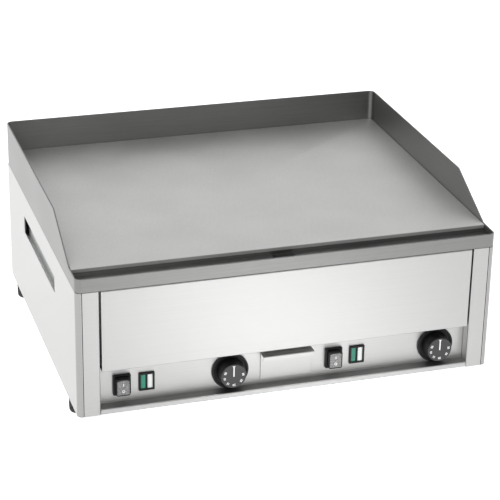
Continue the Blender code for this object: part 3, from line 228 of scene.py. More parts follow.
def roundedPath(corners, radii, closed=False, steps=5, support=0.0008):
    # Each corner becomes an arc that touches both legs, with the radius r set back by
    # r / tan(half the angle). Points turn evenly from its first to its last. One more point on
    # each leg, a little before the arc, keeps the flat beside it flat in the shading.
    corners = np.array(corners, float)
    count = len(corners)
    radii = np.broadcast_to(radii, count)
    points = []
    for index in range(count):
        corner, radius = corners[index], radii[index]
        if radius <= 0 or (not closed and index in (0, count - 1)):
            points.append(corner[None])
            continue
        before, after = corners[index - 1] - corner, corners[(index + 1) % count] - corner
        reachIn, reachOut = np.linalg.norm(before), np.linalg.norm(after)
        before, after = before / reachIn, after / reachOut
        half = 0.5 * math.acos(float(np.clip(before @ after, -1, 1)))
        setback = radius / math.tan(half)
        middle = (before + after) / np.linalg.norm(before + after)
        centre = corner + middle * radius / math.sin(half)
        first, last = corner + before * setback, corner + after * setback
        opening = math.pi - 2 * half
        t = np.linspace(0, 1, steps + 1)[:, None]
        arc = centre + ((first - centre) * np.sin((1 - t) * opening)
                        + (last - centre) * np.sin(t * opening)) / math.sin(opening)
        for room, direction, end in ((reachIn, before, 0), (reachOut, after, 1)):
            lead = min(support, 0.45 * room - setback)
            if lead > 1e-5:
                extra = ((first, last)[end] + direction * lead)[None]
                arc = np.concatenate([extra, arc] if end == 0 else [arc, extra])
        points.append(arc)
    return np.concatenate(points)


def roundedBox(u0, v0, u1, v1, radius, steps=5):
    # outline of a rectangle between two corners, with rounded corners
    return roundedPath([(u0, v0), (u1, v0), (u1, v1), (u0, v1)], radius, closed=True, steps=steps)


def foldedSheet(path, thickness, bend, side=1, edge=sheetEdge):
    # Section of a folded sheet: the path, and the path offset to its left (side 1) or right (-1).
    # The radius on the path is the bend; on the other face it is the bend less or plus the
    # sheet, and never so small that the rounding of an end would turn it inside out.
    path = np.array(path, float)
    legs = np.diff(path, axis=0)
    legs /= np.linalg.norm(legs, axis=1)[:, None]
    normals = np.stack([-legs[:, 1], legs[:, 0]], 1) * side
    first, last = np.vstack([normals[:1], normals]), np.vstack([normals, normals[-1:]])
    mitre = (first + last) / (1 + (first * last).sum(1))[:, None]
    turn = legs[:-1, 0] * legs[1:, 1] - legs[:-1, 1] * legs[1:, 0]
    bend = np.broadcast_to(bend, len(path) - 2)
    other = np.maximum(bend - np.sign(turn) * side * thickness, sheetEdge + 0.0001)
    radii = np.concatenate([[edge], bend, [edge, edge], other[::-1], [edge]])
    return roundedPath(np.vstack([path, (path + mitre * thickness)[::-1]]), radii, closed=True)


def insetOf(outline):
    # for each point of a closed outline, the step that moves both its legs in by one metre
    after = np.roll(outline, -1, 0) - outline
    after /= np.linalg.norm(after, axis=1)[:, None]
    left = np.stack([-after[:, 1], after[:, 0]], 1)
    before = np.roll(left, 1, 0)
    step = (left + before) / (1 + (left * before).sum(1))[:, None]
    area = 0.5 * np.sum(outline[:, 0] * np.roll(outline[:, 1], -1)
                        - outline[:, 1] * np.roll(outline[:, 0], -1))
    return step if area > 0 else -step


def lift(axis, flat, along):
    # section points (u, v) and a place along the axis, as points in space
    u, v = flat[..., 0], flat[..., 1]
    w = np.broadcast_to(along, u.shape)
    return np.stack({"X": (w, u, v), "Y": (u, w, v), "Z": (u, v, w)}[axis], -1)


def gridFaces(rows, columns, closeRows=False, closeColumns=False):
    # quads between neighbouring points of a grid stored row by row
    i, j = np.meshgrid(np.arange(rows - (not closeRows)), np.arange(columns - (not closeColumns)),
                       indexing="ij")
    i, j = i.ravel(), j.ravel()
    n, m = (i + 1) % rows, (j + 1) % columns
    return np.stack([i * columns + j, n * columns + j, n * columns + m, i * columns + m], 1)


def meshOf(name, points, faces, material):
    # Merge doubles, turn faces outwards, shade smooth with creases past the crease angle.
    # Faces of more than four corners are flat ends and keep their own normal.
    mesh = bpy.data.meshes.new(name)
    mesh.from_pydata(points.reshape(-1, 3).tolist(), [], faces)
    work = bmesh.new()
    work.from_mesh(mesh)
    bmesh.ops.remove_doubles(work, verts=work.verts, dist=1e-7)
    bmesh.ops.recalc_face_normals(work, faces=work.faces)
    for face in work.faces:
        face.smooth = len(face.verts) < 5
    work.to_mesh(mesh)
    work.free()
    mesh.materials.append(material)
    mesh.set_sharp_from_angle(angle=crease)
    return mesh


def sweep(name, outline, axis, low, high, material, edge=sheetEdge, folded=False):
    # The outline carried along an axis. Near each end it shrinks along a quarter circle of
    # radius edge: inset = edge (1 - sin a), distance from the end = edge (1 - cos a).
    a = np.linspace(0, np.pi / 2, 4)
    inset = np.append(edge * (1 - np.sin(a)), 0)
    along = np.append(edge * (1 - np.cos(a)), edge + supportRow)
    inset = np.concatenate([inset, inset[::-1]])
    along = np.concatenate([low + along, (high - along)[::-1]])
    step = insetOf(outline)
    if edge == 0:
        inset, along = np.zeros(2), np.array([low, high])
    grid = lift(axis, outline[None] + step[None] * inset[:, None, None],
                along[:, None] * np.ones((1, len(outline))))
    rows, columns = grid.shape[:2]
    faces = gridFaces(rows, columns, closeColumns=True).tolist()
    for start in (0, (rows - 1) * columns):
        if folded:    # ends of a folded sheet: quads from each point to the one across the sheet
            i = start + np.arange(columns // 2 - 1)
            across = 2 * start + columns - 1 - i
            faces += np.stack([i, i + 1, across - 1, across], 1).tolist()
        else:
            faces.append(list(range(start, start + columns)))
    return meshOf(name, grid, faces, material)


def turned(name, profile, axis, centre, material, around=72):
    # profile (radius, along) carried once round an axis through centre
    profile = np.array(profile, float)
    angle = np.linspace(0, 2 * np.pi, around, endpoint=False)
    flat = profile[:, None, :1] * np.stack([np.cos(angle), np.sin(angle)], -1)[None]
    grid = lift(axis, flat, profile[:, 1][:, None]) + np.array(centre)
    ring = profile[0, 0] > 0 or profile[-1, 0] > 0
    faces = gridFaces(len(profile), around, closeRows=ring, closeColumns=True)
    return meshOf(name, grid, faces.tolist(), material)


def box(name, low, high, material, edge=sheetEdge):
    # a block between two corners, rounded on every edge, or sharp for a cutter
    outline = roundedBox(low[0], low[1], high[0], high[1], edge, steps=2)
    return sweep(name, outline, "Z", low[2], high[2], material, edge=edge)


def joined(name, meshes):
    # several closed meshes as one, with their materials kept
    work = bmesh.new()
    materials = []
    for mesh in meshes:
        start = len(work.faces)
        work.from_mesh(mesh)
        for material in mesh.materials:
            if material not in materials:
                materials.append(material)
        work.faces.ensure_lookup_table()
        index = [materials.index(material) for material in mesh.materials]
        for face in work.faces[start:]:
            face.material_index = index[face.material_index]
        bpy.data.meshes.remove(mesh)
    result = bpy.data.meshes.new(name)
    work.to_mesh(result)
    work.free()
    for material in materials:
        result.materials.append(material)
    return result


def carved(mesh, cutters):
    # the mesh less the cutters, with creases set again after the cut
    body = bpy.data.objects.new(mesh.name, mesh)
    bpy.context.scene.collection.objects.link(body)
    tools = []
    for cutter in cutters:
        tool = bpy.data.objects.new("cutter", cutter)
        bpy.context.scene.collection.objects.link(tool)
        tools.append(tool)
        modifier = body.modifiers.new("cut", "BOOLEAN")
        modifier.solver = "MANIFOLD"
        modifier.object = tool
    graph = bpy.context.evaluated_depsgraph_get()
    result = bpy.data.meshes.new_from_object(body.evaluated_get(graph))
    for thing in [body] + tools:
        bpy.data.objects.remove(thing)
    result.name = mesh.name
    result.set_sharp_from_angle(angle=crease)
    return result


def paintFaces(mesh, material, choose):
    # give a second material to the faces picked by their normals and centres
    count = len(mesh.polygons)
    normals, centres = np.empty(count * 3), np.empty(count * 3)
    mesh.polygons.foreach_get("normal", normals)
    mesh.polygons.foreach_get("center", centres)
    index = np.empty(count, np.int32)
    mesh.polygons.foreach_get("material_index", index)
    mesh.materials.append(material)
    chosen = choose(normals.reshape(-1, 3), centres.reshape(-1, 3))
    mesh.polygons.foreach_set("material_index",
                              np.where(chosen, len(mesh.materials) - 1, index).astype(np.int32))


def place(mesh, name, body, replaced=(), slot=None):
    # the finished piece: at the origin, riding on a body, standing for its CAD nodes
    piece = bpy.data.objects.new(name, mesh)
    bpy.context.scene.collection.objects.link(piece)
    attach(piece, body)
    if replaced:
        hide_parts(*replaced)
    return piece


guardLow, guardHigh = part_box("splash_guard")
plateLow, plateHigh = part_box("griddle_plate")
halfWidth, frontY, rearY = guardHigh.x, guardLow.y, guardHigh.y
guard = dict(sheet=0.002, inner=0.0015, frontCorner=0.009, rearCorner=0.010, lip=0.022,
             slopeEnd=0.046, slopeTop=0.151, gutterDepth=0.0133, gutterRear=0.0415,
             ledge=0.016, stepFold=0.001, edge=0.0007, drainX=-0.002, drain=(0.035, 0.0125),
             drainGap=0.001, drainCorner=0.002)
lipTop = guardLow.z + guard["lip"]
gutterFloor = lipTop - guard["gutterDepth"]
gutterRear = frontY + guard["gutterRear"]
ledgeTop = plateLow.z - gap


def guardWall():
    # One parameter runs round the plan outline, the other round the sheet's own section. A
    # point is the outline inset by its depth, at its level over the wall's top or lower edge.
    # The top is the lip, then the slope, then the full height, clipped between them.
    end, top = frontY + guard["slopeEnd"], frontY + guard["slopeTop"]
    corners = [(-halfWidth, frontY), (halfWidth, frontY), (halfWidth, end), (halfWidth, top),
               (halfWidth, rearY), (-halfWidth, rearY), (-halfWidth, top), (-halfWidth, end)]
    front, rear = guard["frontCorner"], guard["rearCorner"]
    outline = roundedPath(corners, [front, front, 0, 0, rear, rear, 0, 0], closed=True, steps=10)
    height = lipTop + (guardHigh.z - lipTop) * np.clip((outline[:, 1] - end) / (top - end), 0, 1)
    t, e, s = guard["sheet"], guard["edge"], supportRow
    a = np.linspace(0, np.pi / 2, 4)
    rise, run = e * (1 - np.sin(a)), e * (1 - np.cos(a))
    depth = np.concatenate([[0], run, (t - run)[::-1], [t, t], (t - run), run[::-1], [0]])
    level = np.concatenate([[-e - s], -rise, -rise[::-1], [-e - s, e + s],
                            rise, rise[::-1], [e + s]])
    # the first half of the section goes over the top edge, the second half under the lower one
    atTop = np.arange(len(depth)) < len(depth) // 2
    plan = outline[:, None] + insetOf(outline)[:, None] * depth[None, :, None]
    z = np.where(atTop[None], height[:, None] + level[None], guardLow.z + level[None])
    grid = np.dstack([plan, z])
    faces = gridFaces(*grid.shape[:2], closeRows=True, closeColumns=True)
    return meshOf("guardWall", grid, faces.tolist(), guardSteel)


def guardFloor():
    # gutter floor, then step and front ledge in one fold; three flat strips close the ledge
    t = guard["inner"]
    inner, front = halfWidth - guard["sheet"] / 2, frontY + guard["sheet"] / 2
    corner = guard["frontCorner"] - guard["sheet"] / 2
    outline = roundedBox(-inner, front, inner, gutterRear + t / 2,
                         [corner, corner, sheetEdge, sheetEdge], steps=8)
    # the gutter floor takes a steel lighter than the guard's: painted light over its dark
    # reflection
    floor = sweep("gutter", outline, "Z", gutterFloor - t, gutterFloor, paintedShadeAndLightSteel)
    halfW, halfL = (v / 2 for v in guard["drain"])
    middle = gutterRear - guard["drainGap"] - halfL
    slot = roundedBox(guard["drainX"] - halfW, middle - halfL, guard["drainX"] + halfW,
                      middle + halfL, guard["drainCorner"])
    cutter = sweep("drain", slot, "Z", gutterFloor - through, gutterFloor + through, guardSteel,
                   edge=0)
    floor = carved(floor, [cutter])
    path = [(gutterRear, gutterFloor - t / 2), (gutterRear, ledgeTop),
            (gutterRear + t + guard["ledge"], ledgeTop)]
    step = sweep("step", foldedSheet(path, t, guard["stepFold"], side=-1), "X", -inner, inner,
                 guardSteel, folded=True)
    wide, rear = guard["sheet"] + guard["ledge"], rearY - guard["sheet"] / 2
    corner = guard["rearCorner"] - guard["sheet"] / 2
    outline = roundedBox(-inner, rearY - wide, inner, rear,
                         [sheetEdge, sheetEdge, corner, corner], steps=8)
    strips = [sweep("ledgeBack", outline, "Z", ledgeTop - t, ledgeTop, guardSteel)]
    for sign in sides.values():
        a, b = sorted([sign * inner, sign * (halfWidth - wide)])
        strips.append(box("ledgeEnd", (a, gutterRear, ledgeTop - t), (b, rearY - wide, ledgeTop),
                          guardSteel))
    return joined("guardFloor", [floor, step] + strips)


place(joined("splashGuard", [guardWall(), guardFloor()]), "splashGuard", "casing",
      ["splash_guard"], "guard")

plate = dict(frontCorner=0.001, rearCorner=0.008, edge=0.0009)
outline = roundedBox(plateLow.x, plateLow.y, plateHigh.x, plateHigh.y,
                     [plate["frontCorner"]] * 2 + [plate["rearCorner"]] * 2, steps=8)
place(sweep("cookingPlate", outline, "Z", plateLow.z, plateHigh.z, plateSteel,
            edge=plate["edge"]), "cookingPlate", "casing", ["griddle_plate"], "plate")
print("guard and plate made")


casing = dict(sheet=0.0015, sideBend=0.008, fold=0.002, rootFold=0.0006, pillarWidth=0.035,
              pillarReturn=0.030, rearFlange=0.018, slotCorner=0.0015, slotStart=0.1545,
              slotLength=0.244, slotBottom=0.1355, slotHeight=0.0285, recess=0.018,
              panelFlange=0.014, seam=0.0011, seamDepth=0.0008, seamOffset=0.0012,
              railHeight=0.007)
sheet, fold = casing["sheet"], casing["fold"]
panelFace = frontY + casing["recess"]
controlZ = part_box("left_knob")[0].z / 2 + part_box("left_knob")[1].z / 2


def sidePanel(side, sign):
    # Plan section: return, pillar face, bend, side, rear flange, carried up the height
    low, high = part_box(side + "_side_panel")
    inner = halfWidth - casing["pillarWidth"]
    path = [(inner, frontY + casing["pillarReturn"]), (inner, frontY), (halfWidth, frontY),
            (halfWidth, high.y), (halfWidth - casing["rearFlange"], high.y)]
    outline = foldedSheet(path, sheet, [fold, casing["sideBend"], fold])
    outline[:, 0] *= sign
    panel = sweep("panel", outline, "Z", low.z, high.z, satinSteel, folded=True)
    # bend faces looking forward and to the side take the darker copy: painted shade along the bend
    paintFaces(panel, shadedBendSteel, lambda n, c: (np.abs(n[:, 0]) > 0.12) & (n[:, 1] < -0.12))
    y, z = frontY + casing["slotStart"], low.z + casing["slotBottom"]
    slot = roundedBox(y, z, y + casing["slotLength"], z + casing["slotHeight"],
                      casing["slotCorner"])
    ends = sorted([sign * (halfWidth + through), sign * (halfWidth - through)])
    cutter = sweep("slot", slot, "X", *ends, satinSteel, edge=0)
    # seam where the bend ends on the pillar's face; its groove takes the black rubber material as
    # painted shadow
    seam = sign * (halfWidth - casing["sideBend"] - casing["seamOffset"])
    wide, deep = casing["seam"] / 2, casing["seamDepth"]
    line = box("seam", (seam - wide, frontY - through, low.z - through),
               (seam + wide, frontY + deep, high.z + through), paintedShadeAndLightSteel, 0)
    panel = carved(panel, [cutter, line])
    # the groove's faces take the black rubber: painted shadow in the seam
    paintFaces(panel, rubber, lambda n, c: (np.abs(c[:, 0] - seam) < wide * 1.1)
               & (c[:, 1] > frontY + 0.1 * deep) & (c[:, 1] < frontY + 1.5 * deep))
    place(panel, side + "SidePanel", "casing", [side + "_side_panel"], "casing")


def frontPanel():
    low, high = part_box("front_panel")
    path = [(frontY + casing["panelFlange"], high.z), (frontY, high.z), (frontY, low.z),
            (panelFace - gap, low.z)]
    place(sweep("panel", foldedSheet(path, sheet, fold), "X", low.x, high.x, satinSteel,
                folded=True), "frontPanel", "casing", ["front_panel"], "casing")


# how much smaller the openings are than the rims over them, across and upright
openingInset = {"switch_body": (0.0029, 0.00225), "lamp_body": (0.0015, 0.0015)}
spindleHole, trayRoom = 0.005, 0.001


def controlPanel():
    # lower rail, recess floor and panel in one fold, with its openings
    low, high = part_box("control_panel")
    floor = low.z + casing["railHeight"]
    path = [(frontY, low.z), (frontY, floor), (panelFace, floor), (panelFace, high.z)]
    panel = sweep("panel", foldedSheet(path, sheet, [fold, casing["rootFold"]], side=-1), "X",
                  low.x, high.x, satinSteel, folded=True)
    cutters = []
    for side in sides:
        for node, (insetX, insetZ) in openingInset.items():
            a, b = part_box(side + "_" + node)
            cutters.append(box("hole", (a.x + insetX, panelFace - through, a.z + insetZ),
                               (b.x - insetX, panelFace + through, b.z - insetZ), satinSteel, 0))
        a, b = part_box(side + "_knob")
        centre = ((a.x + b.x) / 2, panelFace, controlZ)
        bore = [(0, -through), (spindleHole, -through), (spindleHole, through), (0, through)]
        cutters.append(turned("hole", bore, "Y", centre, satinSteel, around=32))
    a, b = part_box("grease_tray")
    cutters.append(box("hole", (a.x - trayRoom, panelFace - through, a.z - trayRoom),
                       (b.x + trayRoom, panelFace + through, b.z + trayRoom), satinSteel, 0))
    panel = carved(panel, cutters)
    # faces of the recess floor take the darker steel as painted shade: they look up, just under
    # floor level
    paintFaces(panel, paintedShadeAndLightSteel,
               lambda n, c: (n[:, 2] > 0.7) & (np.abs(c[:, 2] - floor) < sheet / 3))
    place(panel, "controlPanel", "casing", ["control_panel"], "casing")


drawer = dict(lip=0.008, lipCorner=0.003)


def drawerFront():
    # front, finger ledge and its lip; the lip's lower corners are rounded off
    low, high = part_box("drawer_front")
    lip, corner = drawer["lip"], drawer["lipCorner"]
    path = [(high.y, low.z), (high.y, high.z), (low.y, high.z), (low.y, high.z - lip)]
    front = sweep("front", foldedSheet(path, sheet, fold), "X", low.x, high.x, satinSteel,
                  folded=True)
    cutters = []
    for sign in sides.values():
        x, z, reach = sign * high.x, high.z - lip, 0.5 * lip
        a = np.radians(np.linspace(0, 90, 7))
        arc = np.stack([x - sign * corner * (1 - np.cos(a)), z + corner * (1 - np.sin(a))], 1)
        rest = [(x - sign * corner, z - reach), (x + sign * reach, z - reach),
                (x + sign * reach, z + corner)]
        cutters.append(sweep("corner", np.vstack([arc, rest]), "Y", low.y - through,
                             low.y + 2 * sheet, satinSteel, edge=0))
    front = carved(front, cutters)
    # the ledge's upward faces take the darker steel: painted shade under the recess
    paintFaces(front, paintedShadeAndLightSteel, lambda n, c: n[:, 2] > 0.7)
    place(front, "drawerFront", "drawer", ["drawer_front"], "casing")


louvre = dict(panelCorner=0.002, x=0.163, length=0.070, height=0.005, pitch=0.014, count=6,
              below=0.1024)


def rearPanel():
    # flat sheet with a block of round-ended louvres on each side, its middle below the guard
    low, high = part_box("rear_panel")
    outline = roundedBox(low.x, low.z, high.x, high.z, louvre["panelCorner"])
    panel = sweep("rear", outline, "Y", low.y, high.y, satinSteel)
    middle = guardLow.z - louvre["below"]
    cutters = []
    for sign in sides.values():
        for k in range(louvre["count"]):
            z = middle + (k - (louvre["count"] - 1) / 2) * louvre["pitch"]
            x, hl, hh = sign * louvre["x"], louvre["length"] / 2, louvre["height"] / 2
            slot = roundedBox(x - hl, z - hh, x + hl, z + hh, hh * 0.98, steps=8)
            cutters.append(sweep("louvre", slot, "Y", low.y - through, high.y + through,
                                 satinSteel, edge=0))
    place(carved(panel, cutters), "rearPanel", "casing", ["rear_panel"], "casing")


for side, sign in sides.items():
    sidePanel(side, sign)
frontPanel()
controlPanel()
drawerFront()
rearPanel()
print("casing sheets made")


dial = dict(face=0.01975, base=0.02225, topEdge=0.0009, foot=0.0008, footEdge=0.0004,
            numeralSize=0.0048, numeralRadius=0.0146, pointer=(0.0019, 0.0172), flare=0.0046,
            flareLength=0.0022, tail=0.0005, inkDepth=0.00012)
bezel = dict(radius=0.029, rim=0.0035, dish=0.002, slope=0.0008, bore=0.006,
             edges=(0, 0.0004, 0.0012, 0.0008, 0.0006, 0))
# place of each number, in degrees clockwise from the pointer
numerals = {"05": 296, "10": 257, "15": 218, "20": 178, "25": 127, "30": 83}


def lettering(text, size, depth):
    # printed text as a mesh, standing on the origin and facing +Z
    curve = bpy.data.curves.new(text, "FONT")
    curve.body, curve.size, curve.extrude = text, size, depth / 2
    curve.align_x, curve.align_y, curve.resolution_u = "CENTER", "CENTER", 4
    curve.offset = size * 0.03    # a little bolder than the font
    writer = bpy.data.objects.new(text, curve)
    bpy.context.scene.collection.objects.link(writer)
    graph = bpy.context.evaluated_depsgraph_get()
    mesh = bpy.data.meshes.new_from_object(writer.evaluated_get(graph))
    bpy.data.objects.remove(writer)
    mesh.materials.clear()
    mesh.materials.append(ink)
    return mesh


def buildDial(side):
    # knob: a short cone turned round its spindle
    low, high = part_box(side + "_knob")
    x, face, back = (low.x + high.x) / 2, low.y + dial["inkDepth"], high.y
    axis = (x, 0, controlZ)
    edge = dial["footEdge"]
    profile = roundedPath([(0, face), (dial["face"], face), (dial["base"], back - dial["foot"]),
                           (dial["base"], back), (0, back)], [0, dial["topEdge"], edge, edge, 0])
    knob = turned("knob", profile, "Y", axis, knobPlastic, 96)
    paintFaces(knob, blackPlastic, lambda n, c: n[:, 1] > -0.5)    # glossy side under a matt face
    place(knob, side + "Knob", side + "_dial", [side + "_knob"], "knob")

    # numbers and pointer lie on the face: local +Z turns to -Y, local +Y stays up
    marks = []
    deep = dial["inkDepth"] / 2
    ontoFace = (Matrix.Translation((x, face - deep, controlZ))
                @ Matrix.Rotation(math.radians(90), 4, "X"))
    for text, clock in numerals.items():
        mesh = lettering(text, dial["numeralSize"], dial["inkDepth"])
        mesh.transform(ontoFace @ Matrix.Rotation(math.radians(-clock), 4, "Z")
                       @ Matrix.Translation((0, dial["numeralRadius"], 0)))
        marks.append(mesh)
    half, wide, tip = dial["pointer"][0] / 2, dial["flare"] / 2, dial["pointer"][1]
    neck = tip - dial["flareLength"]
    bar = np.array([(-half, -dial["tail"]), (half, -dial["tail"]), (half, neck), (wide, tip),
                    (-wide, tip), (-half, neck)])
    pointer = sweep("pointer", bar, "Z", -deep, deep, ink, edge=0)
    pointer.transform(ontoFace)
    place(joined("dialPrint", marks + [pointer]), side + "DialPrint", side + "_dial", slot="knob")

    # bezel: a dished ring on the panel, its rim standing round the knob
    low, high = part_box(side + "_knob_bezel")
    r, inside, dish = bezel["radius"], bezel["radius"] - bezel["rim"], low.y + bezel["dish"]
    profile = roundedPath([(bezel["bore"], high.y), (r, high.y), (r, low.y), (inside, low.y),
                           (inside - bezel["slope"], dish), (bezel["bore"], dish)],
                          bezel["edges"], steps=4)
    place(turned("bezel", profile, "Y", axis, blackPlastic, 96), side + "KnobBezel", "casing",
          [side + "_knob_bezel"], "black_trim")


for side in sides:
    buildDial(side)
print("dials made")


switch = dict(corner=0.0018, edge=0.0009, halfWidth=0.0108, halfHeight=0.0145, step=0.001,
              seatDepth=0.002, wall=0.0013, wellDepth=0.0085)


def buildSwitchBody(side):
    # rim on the panel and body behind it, with a seat for the boot and a well for the rocker
    low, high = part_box(side + "_switch_body")
    bootLow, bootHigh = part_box(side + "_switch_boot")
    x, z = (low.x + high.x) / 2, (low.z + high.z) / 2
    halfX, halfZ = switch["halfWidth"], switch["halfHeight"]
    rim = sweep("rim", roundedBox(low.x, low.z, high.x, high.z, switch["corner"]), "Y", low.y,
                panelFace - gap, blackPlastic, edge=switch["edge"])
    body = box("body", (x - halfX, low.y + switch["step"], z - halfZ),
               (x + halfX, high.y, z + halfZ), blackPlastic)

    def hollow(inset, depth):
        return box("hollow", (bootLow.x + inset, low.y - through, bootLow.z + inset),
                   (bootHigh.x - inset, depth, bootHigh.z - inset), blackPlastic, 0)

    well = switch["wall"], panelFace + switch["wellDepth"]
    rim = carved(rim, [hollow(-gap, low.y + switch["seatDepth"]), hollow(*well)])
    place(joined("switchBody", [rim, carved(body, [hollow(*well)])]), side + "SwitchBody",
          "casing", [side + "_switch_body"], "black_trim")


boot = dict(corner=0.0028, edge=0.0009, border=0.0012, topBorder=0.0042, lean=0.0002,
            side=0.0005, sill=0.0012, crown=0.0007, sunk=0.0009, film=0.0006, barFront=0.0006,
            barBack=0.0024, markSunk=0.00005, markDepth=0.00035, stroke=(0.001, 0.0042),
            strokeRise=0.0022, ring=(0.0022, 0.0014), ringDrop=0.0062)


def buildSwitchBoot(side):
    # frame of the boot: a black skirt carried round its outline, with a quarter circle of
    # radius edge at its front: inset = edge (1 - cos a), place = edge (1 - sin a)
    low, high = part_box(side + "_switch_boot")
    x, z, front, back = (low.x + high.x) / 2, (low.z + high.z) / 2, low.y, high.y
    outline = roundedBox(low.x, low.z, high.x, high.z, boot["corner"])
    a = np.linspace(0, np.pi / 2, 4)
    edge, border = boot["edge"], boot["border"]
    depth = np.concatenate([[0, 0], edge * (1 - np.cos(a)),
                            [border, border, border - boot["lean"]]])
    y = np.concatenate([[back, front + edge + boot["side"]], front + edge * (1 - np.sin(a)),
                        [front, front + boot["sill"], back]])
    grid = lift("Y", outline[None] + insetOf(outline)[None] * depth[:, None, None],
                y[:, None] * np.ones((1, len(outline))))
    faces = gridFaces(*grid.shape[:2], closeRows=True, closeColumns=True)
    skirt = meshOf("skirt", grid, faces.tolist(), blackPlastic)
    # a black bar across the top of the window, seen through the membrane: painted shadow under the
    # frame's top
    bar = box("bar", (low.x + border / 2, front + boot["barFront"], high.z - boot["topBorder"]),
              (high.x - border / 2, front + boot["barBack"], high.z - border / 2), blackPlastic)

    # membrane: height over its rim falls as (1 - u^4)(1 - w^4), so it is flat in the middle
    u, w = np.meshgrid(np.linspace(-1, 1, 33), np.linspace(-1, 1, 41), indexing="ij")
    halfX = (high.x - low.x) / 2 - border + boot["lean"]
    halfZ = (high.z - low.z) / 2 - border + boot["lean"]
    crown = boot["crown"] * (1 - u ** 4) * (1 - w ** 4)
    outer = np.dstack([x + u * halfX, front + boot["sunk"] - crown, z + w * halfZ])
    inner = outer + np.array([0, boot["film"], 0])
    rows, columns = u.shape
    count = rows * columns
    sheetFaces = gridFaces(rows, columns)
    loop = np.concatenate([np.arange(columns), np.arange(1, rows) * columns + columns - 1,
                           (rows - 1) * columns + np.arange(columns - 2, -1, -1),
                           np.arange(rows - 2, 0, -1) * columns])
    after = np.roll(loop, -1)
    rimFaces = np.stack([loop, after, after + count, loop + count], 1)
    faces = np.concatenate([sheetFaces, sheetFaces[:, ::-1] + count, rimFaces])
    window = meshOf("window", np.concatenate([outer.reshape(-1, 3), inner.reshape(-1, 3)]),
                    faces.tolist(), membrane)
    place(joined("switchBoot", [skirt, window, bar]), side + "SwitchBoot", "casing",
          [side + "_switch_boot"], "silicone")

    # marks moulded into the membrane, over the two ends of the rocker: a stroke and a ring
    markFront = front + boot["markSunk"]
    markBack = markFront + boot["markDepth"]
    half, base = boot["stroke"][0] / 2, z + boot["strokeRise"]
    stroke = sweep("on", roundedBox(x - half, base, x + half, base + boot["stroke"][1], 0.8 * half),
                   "Y", markFront, markBack, ink, edge=0)
    wide, narrow = boot["ring"]
    section = [(narrow, markFront), (wide, markFront), (wide, markBack), (narrow, markBack)]
    ring = turned("off", section, "Y", (x, 0, z - boot["ringDrop"]), ink, around=40)
    place(joined("switchMarks", [stroke, ring]), side + "SwitchMarks", "casing", slot="silicone")


lamp = dict(corner=0.0012, edge=0.0007, inset=0.0015, step=0.003, crown=0.0009, lensEdge=0.0004)


def buildLamp(side):
    # rim and body with a seat for each lens
    low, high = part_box(side + "_lamp_body")
    inset = lamp["inset"]
    rim = sweep("rim", roundedBox(low.x, low.z, high.x, high.z, lamp["corner"]), "Y", low.y,
                panelFace - gap, blackPlastic, edge=lamp["edge"])
    body = box("body", (low.x + inset, low.y + lamp["step"], low.z + inset),
               (high.x - inset, high.y, high.z - inset), blackPlastic)
    lenses = {colour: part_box("%s_lamp_%s_lens" % (side, colour)) for colour in ("green", "clear")}

    def seats():
        return [box("seat", (a.x - gap, low.y - through, a.z - gap),
                    (b.x + gap, b.y + gap, b.z + gap), blackPlastic, 0)
                for a, b in lenses.values()]

    place(joined("lampBody", [carved(rim, seats()), carved(body, seats())]), side + "LampBody",
          "casing", [side + "_lamp_body"], "black_trim")
    # lens: a bar whose front is crowned across, depth = crown (1 - u^2), with closed ends
    for colour, (a, b) in lenses.items():
        u = np.linspace(-1, 1, 17)
        half, x = (b.x - a.x) / 2, (a.x + b.x) / 2
        frontLine = np.stack([x + u * half, a.y + lamp["crown"] * u ** 2], 1)
        outline = np.vstack([frontLine, [(b.x, b.y), (a.x, b.y)]])
        lens = sweep("lens", outline, "Z", a.z, b.z, greenLens if colour == "green" else clearLens,
                     edge=lamp["lensEdge"])
        place(lens, "%sLamp%sLens" % (side, colour.capitalize()), "casing",
              ["%s_lamp_%s_lens" % (side, colour)], colour + "_lens")


for side in sides:
    buildSwitchBody(side)
    buildSwitchBoot(side)
    buildLamp(side)
print("switches and lamps made")


foot = dict(lip=0.0016, lipInset=0.0020, lipSlope=0.0010, draft=0.0004, groove=0.0008,
            grooveOpen=0.0012, grooveFloor=0.0006, levels=(0.35, 0.62), shoulder=0.0015,
            stud=0.004)
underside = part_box("left_side_panel")[0].z


def buildFoot(node):
    # ribbed rubber foot turned upright: a lip at the floor, shallow grooves, a stud on top
    low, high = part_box(node)
    x, y, r = (low.x + high.x) / 2, (low.y + high.y) / 2, (high.x - low.x) / 2
    top = underside - gap
    side, lip = r - foot["draft"], foot["lip"]
    points = [(0, 0), (r - foot["lipInset"], 0), (r - foot["lipSlope"], lip)]
    radii = [0, lip / 2, lip / 4]
    for level in foot["levels"]:
        z, floor = top * level, side - foot["groove"]
        points += [(side, z - foot["grooveOpen"]), (floor, z - foot["grooveFloor"]),
                   (floor, z + foot["grooveFloor"]), (side, z + foot["grooveOpen"])]
        radii += [sheetEdge] * 4
    points += [(r, top), (foot["stud"], top), (foot["stud"], high.z), (0, high.z)]
    radii += [foot["shoulder"], sheetEdge, sheetEdge, 0]
    profile = roundedPath(points, radii, steps=3, support=0.0004)
    place(turned("foot", profile, "Z", (x, y, 0), rubber, 64),
          "rubber" + node.title().replace("_", ""), "casing", [node], "foot_rubber")


screw = dict(shank=0.002, skirt=0.0006, domeAngle=75, cross=(0.0021, 0.0005), crossDepth=0.0009)
rearSeat = rearY + gap


